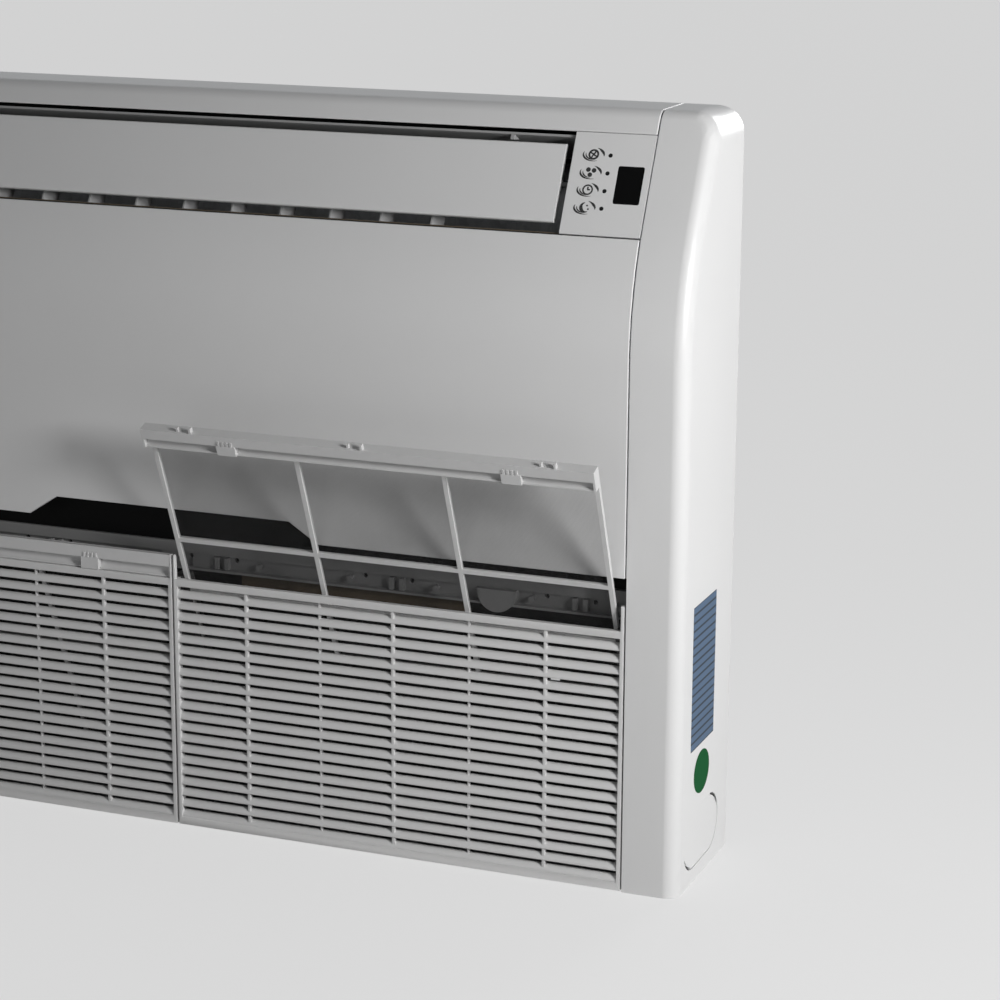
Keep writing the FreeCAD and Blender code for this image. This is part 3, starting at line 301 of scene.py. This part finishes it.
def finPack(name, look):  # fin edges, with painted shade as the dark gaps between them
    mat, tree, shader, wire, coords = startMaterial(name)
    edge = stripes(wire, coords, 0, look["pitch"], look["edgeShare"])
    grime = noise(wire, coords, look["grimeScale"], detail=4.0)
    fin = mix(wire, grime, look["low"], look["high"])
    feed(tree, shader, "Base Color", mix(wire, edge, look["gapShade"], fin))
    feed(tree, shader, "Roughness", look["rough"] + grime * look["roughGrime"])
    feed(tree, shader, "Metallic", edge * look["metal"])
    return mat


# the near-black gap colour is painted shade between the fins
fins = finPack("fins", {
    "pitch": 0.0018, "edgeShare": 0.35, "gapShade": grey(0.02), "metal": 0.9,
    "low": rgb(0.5, 0.51, 0.52), "high": rgb(0.72, 0.73, 0.74),
    "grimeScale": 30.0, "rough": 0.35, "roughGrime": 0.2,
})


def foamStuff(name, look):
    mat, tree, shader, wire, coords = startMaterial(name)
    pores = wire.node("ShaderNodeTexVoronoi", None, {"Vector": coords, "Scale": look["poreScale"]})
    drift = noise(wire, coords, look["driftScale"], detail=3.0)
    feed(tree, shader, "Base Color", mix(wire, drift, look["low"], look["high"]))
    feed(tree, shader, "Roughness", look["rough"] + (drift - noiseMid) * look["roughDrift"])
    feed(tree, shader, "Normal", bumped(wire, pores, look["bump"], look["poreDeep"]))
    return mat


brownFoam = foamStuff("brownFoam", {
    "low": rgb(0.075, 0.056, 0.036), "high": rgb(0.125, 0.098, 0.066), "driftScale": 50.0,
    "rough": 0.85, "roughDrift": 0.1, "poreScale": 900.0, "poreDeep": 0.0006, "bump": 0.5,
})


def circuitBoard(name, look):
    mat, tree, shader, wire, coords = startMaterial(name)
    tracks = wire.node(
        "ShaderNodeTexBrick", None,
        {"Vector": coords, "Scale": look["trackScale"], "Mortar Size": look["trackWide"]}, "Fac",
    )
    drift = noise(wire, coords, look["driftScale"], detail=2.0)
    lacquer = mix(wire, drift, look["low"], look["high"])
    feed(tree, shader, "Base Color", mix(wire, tracks, lacquer, look["track"]))
    feed(tree, shader, "Roughness", look["rough"] + drift * look["roughDrift"])
    return mat


board = circuitBoard("board", {
    "low": rgb(0.01, 0.09, 0.03), "high": rgb(0.015, 0.13, 0.05), "driftScale": 60.0,
    "track": rgb(0.05, 0.25, 0.1), "trackScale": 160.0, "trackWide": 0.03,
    "rough": 0.35, "roughDrift": 0.1,
})


def darkWindow(name, look):
    mat, tree, shader, wire, coords = startMaterial(name)
    smear = noise(wire, coords, look["smearScale"], detail=4.0, rough=0.6)
    feed(tree, shader, "Base Color", mix(wire, smear, look["low"], look["high"]))
    feed(tree, shader, "Roughness", look["rough"] + (smear - noiseMid).most(0.0) * look["roughSmear"])
    shader.inputs["Specular IOR Level"].default_value = look["gloss"]
    return mat


windowBlack = darkWindow("windowBlack", {
    "low": grey(0.001), "high": grey(0.003), "smearScale": 70.0,
    "rough": 0.2, "roughSmear": 0.2, "gloss": 0.05,
})


def printedFilm(name, look):  # film, left bare of words
    mat, tree, shader, wire, coords = startMaterial(name)
    drift = noise(wire, coords, look["driftScale"], detail=3.0)
    tone = mix(wire, drift, look["low"], look["high"])
    if "rule" in look:  # plain ruled lines
        line = stripes(wire, coords, 2, look["rule"], look["ruleShare"])
        tone = mix(wire, line * look["ruleDark"], tone, look["ruleTone"])
    feed(tree, shader, "Base Color", tone)
    feed(tree, shader, "Roughness", look["rough"] + (drift - noiseMid) * look["roughDrift"])
    shader.inputs["Specular IOR Level"].default_value = look["gloss"]
    return mat


labelFilm = printedFilm("labelFilm", {
    "low": rgb(0.075, 0.125, 0.205), "high": rgb(0.09, 0.145, 0.23), "driftScale": 40.0,
    "rough": 0.5, "roughDrift": 0.08, "gloss": 0.1,
    "rule": 0.0073, "ruleShare": 0.28, "ruleDark": 0.85, "ruleTone": rgb(0.01, 0.014, 0.02),
})
greenFilm = printedFilm("greenFilm", {
    "low": rgb(0.001, 0.07, 0.017), "high": rgb(0.0015, 0.088, 0.022), "driftScale": 40.0,
    "rough": 0.6, "roughDrift": 0.08, "gloss": 0.04,
})


def wovenNet(name, look):  # fine woven veil; threads follow the sheet's own map
    mat, tree, shader, wire, coords = startMaterial(name)
    weave = wire.node("ShaderNodeTexCoord", out="UV")
    warp, weft = (stripes(wire, weave, axis, look["pitch"], look["thread"]) for axis in (0, 1))
    dust = noise(wire, coords, look["dustScale"], detail=4.0)
    clogged = (dust - look["dustFrom"]).most(0.0) * look["dustCover"]
    feed(tree, shader, "Base Color", mix(wire, dust, look["low"], look["high"]))
    feed(tree, shader, "Roughness", look["rough"] + (dust - noiseMid) * look["roughDrift"])
    feed(tree, shader, "Alpha", warp.most(weft) * look["threadCover"] + clogged + look["veil"])
    return mat


netVeil = wovenNet("netVeil", {
    "pitch": 0.0011, "thread": 0.3, "threadCover": 0.2, "veil": 0.19,
    "low": grey(0.022), "high": grey(0.04), "rough": 0.65, "roughDrift": 0.2,
    "dustScale": 18.0, "dustFrom": 0.4, "dustCover": 0.25,
})

bySlot = {
    "white_abs": whiteAbs, "filter_plastic": filterAbs, "filter_net": netVeil, "galvanised_steel": zinc,
    "grey_plastic": innerShadeGrey, "dark_plastic": fanBlack, "black_window": windowBlack, "lamp_lens": lampLens,
    "circuit_board": board, "brown_foam": brownFoam, "fin_aluminium": fins, "copper": copper,
    "motor_paint": motorEnamel, "cream_plastic": creamPlastic, "screw_steel": screwSteel,
    "label_film": labelFilm, "green_film": greenFilm,
}
byNode = {
    "outlet_duct": ductShadeTone, "cross_rail": railShadeGrey, "drain_pan": panBlack, "rear_plate": insideShadedZinc,
    "intake_grille_left": grilleAbs, "intake_grille_right": grilleAbs,
}


def lookOf(node):
    return bladeShadeGrey if node.startswith("guide_blade") else byNode.get(node, bySlot[slotOf[node]])


for node in slotOf:
    mesh = nodes[node].data
    mesh.materials.clear()
    mesh.materials.append(lookOf(node))
print("materials set on the CAD nodes")


def link(name, data):
    obj = bpy.data.objects.new(name, data)
    bpy.context.scene.collection.objects.link(obj)
    return obj


def meshOf(work, name):  # the finished mesh, with the working copy freed
    mesh = bpy.data.meshes.new(name)
    work.to_mesh(mesh)
    work.free()
    return mesh


def settled(obj):  # the evaluated mesh, with the modifiers taken off
    view = bpy.context.evaluated_depsgraph_get()
    mesh = bpy.data.meshes.new_from_object(obj.evaluated_get(view), depsgraph=view)
    obj.modifiers.clear()
    obj.data = mesh


def smooth(mesh, degrees):
    mesh.polygons.foreach_set("use_smooth", [True] * len(mesh.polygons))
    mesh.set_sharp_from_angle(angle=math.radians(degrees))


# softened copies of the moulded nodes: the edge rounding in metres, 0 where the CAD has it already
softEdges = {
    "front_panel": 0.0009, "top_cover": 0.0011, "control_plate": 0.0005, "blank_plate_left": 0.0005,
    "end_cover_left": 0, "end_cover_right": 0, "knockout_blanks": 0, "outlet_vane": 0.0006,
    "filter_frame_left": 0.0005, "filter_frame_right": 0.0005, "cross_rail": 0.0006,
}
# angles are in degrees
softening = {"merge": 0.000004, "flat": 0.4, "corner": 34, "steps": 3, "shade": 32}


def softened(node, width, s):
    work = bmesh.new()
    work.from_mesh(nodes[node].data)
    bmesh.ops.remove_doubles(work, verts=work.verts, dist=s["merge"])
    if width:
        flat = math.radians(s["flat"])
        bmesh.ops.dissolve_limit(work, angle_limit=flat, verts=work.verts, edges=work.edges)
    obj = link(node + "_soft", meshOf(work, node + "_soft"))
    if width:
        rounding = obj.modifiers.new("edges", "BEVEL")
        rounding.width = width
        rounding.segments = s["steps"]
        rounding.limit_method = "ANGLE"
        rounding.angle_limit = math.radians(s["corner"])
        rounding.use_clamp_overlap = True
        settled(obj)
    smooth(obj.data, s["shade"])
    even = obj.modifiers.new("normals", "WEIGHTED_NORMAL")
    even.keep_sharp = True
    settled(obj)
    obj.data.materials.clear()
    obj.data.materials.append(lookOf(node))
    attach(obj, bodyOf[node])
    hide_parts(node)
    return obj


softPieces = {node: softened(node, width, softening) for node, width in softEdges.items()}
vaneMesh = softPieces["outlet_vane"].data
vaneMesh.materials.append(fanBlack)
vaneReach = 0.3552  # past here only the pins are left
for face in vaneMesh.polygons:
    if abs(face.center.x) > vaneReach:
        face.material_index = 1
print("soft edges on", len(softPieces), "nodes")


# intake grilles: rounded slats and ribs in rows, in a softened frame
grille = {
    "x0": 0.001, "x1": 0.4343, "low": 0.001, "high": 0.238, "rail": 0.0075, "head": 0.0067, "stile": 0.0035,
    "armInner": 0.0016, "armOuter": 0.003, "armTop": 0.2605, "rimEdge": 0.0006,
    "depth": 0.008, "headDepth": 0.005, "lap": 0.001, "flat": 1, "shade": 40,
    "count": 21, "shift": -0.06, "front": 0.0006, "thick": 0.0019, "rise": 0.0046, "run": 0.0052,
    "crown": 0.0013, "crownSteps": 8, "noseFrom": 300, "noseTo": 180, "noseSteps": 4, "tailShare": 0.35,
    "slatSeat": 0.6, "bays": 6,
}
ribs = {"name": "rib", "bays": (1, 3, 5), "wide": 0.003, "front": 0.0016, "back": 0.0054, "edge": 0.0004}
stays = {"name": "stay", "bays": (2, 4), "wide": 0.002, "front": 0.0036, "back": 0.0068, "edge": 0.0003}


def slatSection(g):  # round nose, a crowned upper face, flat underside; points are (depth, height)
    nose = g["thick"] / 2
    points = []
    for i in range(g["noseSteps"] + 1):  # from the underside round to the front
        a = math.radians(g["noseFrom"] + (g["noseTo"] - g["noseFrom"]) * i / g["noseSteps"])
        points.append(Vector((g["front"] + nose + nose * math.cos(a), nose + nose * math.sin(a))))
    start, tail = points[-1], Vector((g["front"] + g["run"], g["rise"] + g["thick"]))
    along = tail - start
    normal = Vector((-along.y, along.x)).normalized()
    for i in range(1, g["crownSteps"] + 1):  # a parabola over the chord
        t = i / g["crownSteps"]
        points.append(start + along * t + normal * g["crown"] * 4 * t * (1 - t))
    points.append(Vector((tail.x, g["rise"] + g["thick"] * g["tailShare"])))
    return [(max(p.x, g["front"]), p.y) for p in points]


def slatMesh(g, x0, x1):
    work = bmesh.new()
    section = slatSection(g)
    rings = [[work.verts.new((x, frontY + d, z)) for d, z in section] for x in (x0, x1)]
    count = len(section)
    for i in range(count):
        work.faces.new((rings[0][i], rings[0][(i + 1) % count], rings[1][(i + 1) % count], rings[1][i]))
    for end in rings:
        work.faces.new(end)
    bmesh.ops.recalc_face_normals(work, faces=work.faces)
    return meshOf(work, "slat")


def startTree(name, kinds):  # a geometry tree, its inputs as wires and their identifiers
    tree = bpy.data.node_groups.new(name, "GeometryNodeTree")
    ids = {}
    for label, kind in {"Geometry": "Geometry", **kinds}.items():
        socket = tree.interface.new_socket(label, in_out="INPUT", socket_type="NodeSocket" + kind)
        ids[label] = socket.identifier
    tree.interface.new_socket("Geometry", in_out="OUTPUT", socket_type="NodeSocketGeometry")
    source = tree.nodes.new("NodeGroupInput")
    given = {s.name: Wire(tree, s) for s in source.outputs if s.name}
    return tree, given, ids


def scatter(tree, points, piece, material):  # a solid copy on each point, as the tree's result
    wire = Wire(tree)
    copies = wire.node("GeometryNodeInstanceOnPoints", None, {"Points": points, "Instance": piece})
    solid = wire.node("GeometryNodeRealizeInstances", None, {"Geometry": copies})
    done = wire.node("GeometryNodeSetMaterial", None, {"Geometry": solid, "Material": material})
    sink = tree.nodes.new("NodeGroupOutput")
    tree.links.new(done.socket, sink.inputs[0])


def grow(obj, tree, ids, values):  # runs a tree on the piece's mesh and keeps what it makes
    modifier = obj.modifiers.new(tree.name, "NODES")
    modifier.node_group = tree
    for label, value in values.items():
        modifier[ids[label]] = value
    settled(obj)


def rowTree(material):  # copies of the piece's own mesh, on a row of points
    tree, given, ids = startTree("rowOfSlats", {"count": "Int", "start": "Vector", "step": "Vector"})
    line = {"Count": given["count"], "Start Location": given["start"], "Offset": given["step"]}
    row = Wire(tree).node("GeometryNodeMeshLine", {"mode": "OFFSET"}, line)
    scatter(tree, row, given["Geometry"], material)
    return tree, ids


def rowOf(mesh, material, count, start, step):  # a plain mesh with the copies in it
    obj = link("row", mesh)
    tree, ids = rowTree(material)
    grow(obj, tree, ids, {"count": count, "start": start, "step": step})
    made = obj.data
    bpy.data.objects.remove(obj)
    return made


def roundEdges(work, offset):
    bmesh.ops.bevel(
        work, geom=work.edges[:], offset=offset, segments=2, profile=0.5,
        affect="EDGES", clamp_overlap=True,
    )


def blockMesh(name, x, d, z, rounding):  # a box from pairs of limits, with round edges
    work = bmesh.new()
    corners = [work.verts.new((a, frontY + b, c)) for a in x for b in d for c in z]
    for loop in ((0, 1, 3, 2), (4, 6, 7, 5), (0, 4, 5, 1), (2, 3, 7, 6), (0, 2, 6, 4), (1, 5, 7, 3)):
        work.faces.new([corners[i] for i in loop])
    bmesh.ops.recalc_face_normals(work, faces=work.faces)
    roundEdges(work, rounding)
    return meshOf(work, name)


def rimMesh(g, low, high):  # rails, stiles and the two arms as one skin, cell by cell
    inner = (g["x0"], g["x0"] + g["armInner"], g["x0"] + g["stile"])
    xs = inner + (g["x1"] - g["stile"], g["x1"] - g["armOuter"], g["x1"])
    zs = (g["low"], low, high, g["high"], g["armTop"])
    levels = (0, g["headDepth"], g["depth"])
    columns, rows = len(xs) - 1, len(zs) - 1
    window = 2  # the column where the slats are
    work = bmesh.new()
    made = {}

    def corner(i, level, j):
        key = (i, level, j)
        if key not in made:
            made[key] = work.verts.new((xs[i], frontY + levels[level], zs[j]))
        return made[key]

    def reach(i, j):  # how many levels deep a cell goes
        if not (0 <= i < columns and 0 <= j < rows):
            return 0
        if j == rows - 1:  # the arms
            return 1 if i in (0, columns - 1) else 0
        return (2, 0, 1)[j] if i == window else 2

    for i in range(columns):
        for j in range(rows):
            deep = reach(i, j)
            if not deep:
                continue
            around = ((i, j), (i + 1, j), (i + 1, j + 1), (i, j + 1))
            for level in (0, deep):
                work.faces.new([corner(a, level, b) for a, b in around])
            sides = (((i - 1, j), (i, j), (i, j + 1)), ((i + 1, j), (i + 1, j), (i + 1, j + 1)),
                     ((i, j - 1), (i, j), (i + 1, j)), ((i, j + 1), (i, j + 1), (i + 1, j + 1)))
            for beside, a, b in sides:
                for level in range(reach(*beside), deep):
                    wall = ((a, level), (b, level), (b, level + 1), (a, level + 1))
                    work.faces.new([corner(at[0], step, at[1]) for at, step in wall])
    bmesh.ops.recalc_face_normals(work, faces=work.faces)
    flat = math.radians(g["flat"])
    bmesh.ops.dissolve_limit(work, angle_limit=flat, verts=work.verts, edges=work.edges)
    roundEdges(work, g["rimEdge"])
    return meshOf(work, "rim")


def uprights(g, u, low, high):  # a row of upright bars behind the slats
    bay = (g["x1"] - g["x0"]) / g["bays"]
    first = g["x0"] + bay * u["bays"][0]
    across = (first - u["wide"] / 2, first + u["wide"] / 2)
    tall = (low - g["lap"], high + g["lap"])
    upright = blockMesh(u["name"], across, (u["front"], u["back"]), tall, u["edge"])
    step = bay * (u["bays"][1] - u["bays"][0])
    return rowOf(upright, grilleAbs, len(u["bays"]), (0, 0, 0), (step, 0, 0))


def makeGrille(node, g, side):
    low, high = g["low"] + g["rail"], g["high"] - g["head"]
    pitch = (high - low) / g["count"]
    seat = g["stile"] * g["slatSeat"]
    slat = slatMesh(g, g["x0"] + seat, g["x1"] - seat)
    slats = rowOf(slat, grilleAbs, g["count"], (0, 0, low + pitch * g["shift"]), (0, 0, pitch))
    parts = [slats, uprights(g, ribs, low, high), uprights(g, stays, low, high), rimMesh(g, low, high)]
    work = bmesh.new()
    for part in parts:
        work.from_mesh(part)
    if side < 0:
        bmesh.ops.scale(work, vec=(-1, 1, 1), verts=work.verts)
        bmesh.ops.reverse_faces(work, faces=work.faces)
    mesh = meshOf(work, node + "_slats")
    mesh.materials.append(grilleAbs)
    obj = link(node + "_slats", mesh)
    smooth(mesh, g["shade"])
    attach(obj, bodyOf[node])
    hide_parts(node)


makeGrille("intake_grille_right", grille, 1)
makeGrille("intake_grille_left", grille, -1)
print("grilles made")


# filter nets: one stretched sheet in each frame
filterNet = {
    "x0": 0.009, "x1": 0.4235, "low": -0.0728, "high": 0.1505, "columns": 60, "rows": 32,
    "sag": 0.0005, "bays": 3, "sagEnd": 5 / 6, "shade": 60,
}


def makeNet(node, n, side):
    push = 0.0 if side > 0 else -filterPath["travel"]
    wide, long = n["x1"] - n["x0"], n["high"] - n["low"]
    work = bmesh.new()
    grid = []
    for r in range(n["rows"] + 1):
        v = r / n["rows"]
        line = []
        for c in range(n["columns"] + 1):
            u = c / n["columns"]
            slack = abs(math.sin(n["bays"] * math.pi * u)) * math.sin(math.pi * min(1, v / n["sagEnd"]))
            place = onFilter(n["x0"] + wide * u, n["low"] + long * v + push, -n["sag"] * slack)
            line.append(work.verts.new((place.x * side, place.y, place.z)))
        grid.append(line)
    layer = work.loops.layers.uv.new("weave")
    for r in range(n["rows"]):
        for c in range(n["columns"]):
            loop = [(c, r), (c + 1, r), (c + 1, r + 1), (c, r + 1)]
            if side < 0:
                loop.reverse()
            face = work.faces.new([grid[b][a] for a, b in loop])
            for corner, (a, b) in zip(face.loops, loop):
                corner[layer].uv = (wide * a / n["columns"], long * b / n["rows"])
    mesh = meshOf(work, node + "_veil")
    mesh.materials.append(netVeil)
    obj = link(node + "_veil", mesh)
    smooth(mesh, n["shade"])
    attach(obj, bodyOf[node])
    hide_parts(node)


makeNet("filter_net_right", filterNet, 1)
makeNet("filter_net_left", filterNet, -1)
print("nets made")


# printed symbols beside the lamps: generic fan, drops, clock and night signs with swirls about them
symbols = {"x": 0.3815, "runs": (0.0259, 0.0098, -0.0057, -0.0216), "size": 0.001, "proud": 0.00006}
# the signs' own lengths are in millimetres, their angles in degrees
signs = {
    "swirlTilt": 4, "tipShare": 0.15, "swirls": (
        {"turn": (150, 290), "radii": (7.9, 9.9), "squeeze": 0.62},
        {"turn": (160, 268), "radii": (5.9, 7.3), "squeeze": 0.66},
        {"turn": (-18, 72), "radii": (7.4, 9.9), "squeeze": 0.62},
    ),
    "fanRing": (3.1, 4.8), "hub": 1.1, "blades": 4, "bladeFrom": 0.8, "bladeTo": 3.6, "bladeSweep": 17.19,
    "stroke": 0.65, "drop": 2.1, "dropSpots": ((-2.4, 2.4), (2.7, 1.9), (-0.4, -2.1)),
    "clockRing": (3.4, 4.8), "hands": ((0, 0, 0, 2.8), (-0.4, 0, 2.2, 0.2)),
    "moon": {"turn": (80, 300), "radii": (1.6, 4.7), "squeeze": 1.0}, "moonTilt": 11.46,
    "star": 0.8, "starSpots": ((2.0, 1.9), (3.3, -1.2)),
}


def crescent(c, tilt, steps=18):  # an arc that is thickest in its middle
    outer, inner = [], []
    (a0, a1), (r0, r1) = c["turn"], c["radii"]
    cosTilt, sinTilt = math.cos(math.radians(tilt)), math.sin(math.radians(tilt))
    for i in range(steps + 1):
        t = i / steps
        a = math.radians(a0 + (a1 - a0) * t)
        swell = signs["tipShare"] + (1 - signs["tipShare"]) * math.sin(math.pi * t)
        for line, r in ((outer, r1), (inner, r1 - (r1 - r0) * swell)):
            u, v = r * math.cos(a), r * math.sin(a) * c["squeeze"]
            line.append((u * cosTilt - v * sinTilt, u * sinTilt + v * cosTilt))
    return [[outer[i], outer[i + 1], inner[i + 1], inner[i]] for i in range(steps)]


def onCircle(u, v, r, share):
    return (u + r * math.cos(2 * math.pi * share), v + r * math.sin(2 * math.pi * share))


def disc(u, v, r, steps=14):
    return [[onCircle(u, v, r, i / steps) for i in range(steps)]]


def ring(r0, r1, steps=20):
    faces = []
    for i in range(steps):
        a, b = i / steps, (i + 1) / steps
        faces.append([onCircle(0, 0, r, share) for r, share in ((r1, a), (r1, b), (r0, b), (r0, a))])
    return faces


def bar(u0, v0, u1, v1, half):
    du, dv = u1 - u0, v1 - v0
    size = math.hypot(du, dv)
    nu, nv = -dv / size * half, du / size * half
    return [[(u0 - nu, v0 - nv), (u1 - nu, v1 - nv), (u1 + nu, v1 + nv), (u0 + nu, v0 + nv)]]


def swirl():
    return [face for arc in signs["swirls"] for face in crescent(arc, signs["swirlTilt"])]


def fanSign():
    faces = ring(*signs["fanRing"]) + disc(0, 0, signs["hub"])
    for k in range(signs["blades"]):
        a = 2 * math.pi * (k + 0.5) / signs["blades"]
        b = a + math.radians(signs["bladeSweep"])
        root = (signs["bladeFrom"] * math.cos(a), signs["bladeFrom"] * math.sin(a))
        tip = (signs["bladeTo"] * math.cos(b), signs["bladeTo"] * math.sin(b))
        faces += bar(*root, *tip, signs["stroke"])
    return faces


def dropsSign():
    return [face for u, v in signs["dropSpots"] for face in disc(u, v, signs["drop"])]


def clockSign():
    hands = [face for hand in signs["hands"] for face in bar(*hand, signs["stroke"])]
    return ring(*signs["clockRing"]) + hands


def nightSign():
    stars = [face for u, v in signs["starSpots"] for face in disc(u, v, signs["star"])]
    return crescent(signs["moon"], signs["moonTilt"]) + stars


def makeSymbols(s):
    work = bmesh.new()
    for run, sign in zip(s["runs"], (fanSign, dropsSign, clockSign, nightSign)):
        for outline in swirl() + sign():
            spots = [(s["x"] + u * s["size"], run + v * s["size"]) for u, v in outline]
            top = [work.verts.new(onSlope(*spot, -s["proud"])) for spot in spots]
            low = [work.verts.new(onSlope(*spot, s["proud"])) for spot in spots]
            work.faces.new(top)
            work.faces.new(low[::-1])
            for i in range(len(top)):
                j = (i + 1) % len(top)
                work.faces.new((top[i], low[i], low[j], top[j]))
    bmesh.ops.recalc_face_normals(work, faces=work.faces)
    mesh = meshOf(work, "plate_symbols")
    mesh.materials.append(symbolInk)
    obj = link("plate_symbols", mesh)
    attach(obj, bodyOf["control_plate"])


makeSymbols(symbols)
print("symbols printed")


# cover screws: heads with a cross recess, on a cloud of points
screws = {
    "x": 0.460, "low": 0.040, "span": 0.600, "shares": (0.0, 0.267, 0.5, 0.8, 1.0),
    "radius": 0.0036, "sides": 28, "head": 0.0016,
    "wing": 0.0044, "slit": 0.0009, "sunk": 0.0009, "shade": 30,
}


def screwTree(material, sides):
    kinds = {"radius": "Float", "head": "Float", "wingA": "Vector", "wingB": "Vector"}
    tree, given, ids = startTree("crossHeads", kinds)
    wire = Wire(tree)
    barrel = {"Vertices": sides, "Radius": given["radius"], "Depth": given["head"]}
    head = wire.node("GeometryNodeMeshCylinder", None, barrel)
    both = tree.nodes.new("GeometryNodeJoinGeometry")
    for name in ("wingA", "wingB"):
        wing = wire.node("GeometryNodeMeshCube", None, {"Size": given[name]})
        tree.links.new(wing.socket, both.inputs[0])
    cross = Wire(tree, both.outputs[0])
    lift = wire.node("ShaderNodeCombineXYZ", None, {"Z": given["head"] * 0.5})
    placed = wire.node("GeometryNodeTransform", None, {"Geometry": cross, "Translation": lift})
    cutting = {"Mesh 1": head, "Mesh 2": placed}
    cut = wire.node("GeometryNodeMeshBoolean", {"operation": "DIFFERENCE"}, cutting)
    outward = (-math.pi / 2, 0, 0)
    turned = wire.node("GeometryNodeTransform", None, {"Geometry": cut, "Rotation": outward})
    points = wire.node("GeometryNodeMeshToPoints", None, {"Mesh": given["Geometry"]})
    scatter(tree, points, turned, material)
    return tree, ids


def makeScrews(node, s):
    back = casing["depth"] / 2 - s["head"] / 2
    heights = [s["low"] + s["span"] * share for share in s["shares"]]
    spots = [(side * s["x"], back, height) for side in (-1, 1) for height in heights]
    mesh = bpy.data.meshes.new(node + "_heads")
    mesh.from_pydata(spots, [], [])
    obj = link(node + "_heads", mesh)
    tree, ids = screwTree(screwSteel, s["sides"])
    wingA, wingB = (s["wing"], s["slit"], 2 * s["sunk"]), (s["slit"], s["wing"], 2 * s["sunk"])
    grow(obj, tree, ids, {"radius": s["radius"], "head": s["head"], "wingA": wingA, "wingB": wingB})
    smooth(obj.data, s["shade"])
    obj.data.materials.clear()
    obj.data.materials.append(screwSteel)
    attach(obj, bodyOf[node])
    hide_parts(node)


makeScrews("cover_screws", screws)
print("screws set")


# camera, fitted to the photograph
shot = {
    "az": 21.322, "el": 14.338, "roll": 0.315, "lens": 98.715, "sensor": 36.0,
    "place": (1.150725, -2.200739, 0.927321),
}
az, el, roll = (math.radians(shot[k]) for k in ("az", "el", "roll"))
back = Vector((math.sin(az) * math.cos(el), -math.cos(az) * math.cos(el), math.sin(el)))
right = (-back).cross(Vector((0, 0, 1))).normalized()
up = right.cross(-back)
right, up = math.cos(roll) * right + math.sin(roll) * up, math.cos(roll) * up - math.sin(roll) * right
camData = bpy.data.cameras.new("camera")
camData.lens = shot["lens"]
camData.sensor_width = shot["sensor"]
cam = link("camera", camData)
cam.matrix_world = Matrix((
    (right.x, up.x, back.x, shot["place"][0]),
    (right.y, up.y, back.y, shot["place"][1]),
    (right.z, up.z, back.z, shot["place"][2]),
    (0, 0, 0, 1),
))
bpy.context.scene.camera = cam
bpy.context.scene.view_settings.view_transform = "Standard"
print("camera set")


# stage: pale floor and soft studio light
stageLook = {
    "size": 14.0, "low": grey(0.60), "high": grey(0.63), "cloudScale": 0.7, "rough": 0.75,
    "paleShare": 0.7, "pale": grey(0.86),
    "world": rgb(0.86, 0.88, 0.9), "worldPower": 0.05, "worldSeen": 0.75,
}
lamps = {
    "keyRight": {"place": (1.85, -0.85, 0.92), "aim": (0.2, 0, 0.35), "size": (0.4, 0.55), "power": 29},
    "fillFront": {"place": (-0.4, -3.4, 0.9), "aim": (-0.2, 0, 0.35), "size": (1.8, 1.4), "power": 4},
    "backSoft": {"place": (0.35, 1.6, 0.68), "aim": (0, 0, 0.35), "angle": math.radians(25), "power": 1.0},
    "leftSoft": {"place": (-2.6, 0.9, 0.9), "aim": (0, 0, 0.35), "size": (1.0, 1.0), "power": 16},
}


def seenRays(wire):  # 1 where the camera, a mirror or glass looks
    kinds = ("Is Camera Ray", "Is Glossy Ray", "Is Transmission Ray")
    camera, glossy, through = (wire.node("ShaderNodeLightPath", out=kind) for kind in kinds)
    return camera.most(glossy).most(through)


def stageFloor(s):
    mesh = bpy.data.meshes.new("floor")
    corners = [(a * s["size"], b * s["size"], 0) for a, b in ((-1, -1), (1, -1), (1, 1), (-1, 1))]
    mesh.from_pydata(corners, [], [(0, 1, 2, 3)])
    floor = link("floor", mesh)
    mat, tree, shader, wire, coords = startMaterial("paleFloor")
    cloud = noise(wire, coords, s["cloudScale"], detail=2.0)
    feed(tree, shader, "Base Color", mix(wire, cloud, s["low"], s["high"]))
    shader.inputs["Roughness"].default_value = s["rough"]
    pale = wire.node("ShaderNodeEmission", None, {"Color": s["pale"]})
    lit = Wire(tree, shader.outputs[0])
    shown = wire.node("ShaderNodeMixShader", None, {0: seenRays(wire) * s["paleShare"], 1: lit, 2: pale})
    tree.links.new(shown.socket, tree.nodes["Material Output"].inputs["Surface"])
    mesh.materials.append(mat)


def softBox(name, lamp):
    if "angle" in lamp:  # an even light from far behind
        data = bpy.data.lights.new(name, "SUN")
        data.angle = lamp["angle"]
    else:
        data = bpy.data.lights.new(name, "AREA")
        data.shape = "RECTANGLE"
        data.size, data.size_y = lamp["size"]
    data.energy = lamp["power"]
    obj = link(name, data)
    obj.location = lamp["place"]
    obj.visible_camera = False
    obj.rotation_mode = "QUATERNION"
    obj.rotation_quaternion = (Vector(lamp["aim"]) - Vector(lamp["place"])).to_track_quat("-Z", "Y")


def stageSky(s):  # pale where it is seen, dim as a light
    world = bpy.data.worlds.new("world")
    world.use_nodes = True
    tree = world.node_tree
    wire = Wire(tree)
    dim = wire.node("ShaderNodeBackground", None, {"Color": s["world"], "Strength": s["worldPower"]})
    pale = wire.node("ShaderNodeBackground", None, {"Color": s["world"], "Strength": s["worldSeen"]})
    shown = wire.node("ShaderNodeMixShader", None, {0: seenRays(wire), 1: dim, 2: pale})
    tree.links.new(shown.socket, tree.nodes["World Output"].inputs["Surface"])
    bpy.context.scene.world = world


stageFloor(stageLook)
stageSky(stageLook)
for name, lamp in lamps.items():
    softBox(name, lamp)
print("stage set")
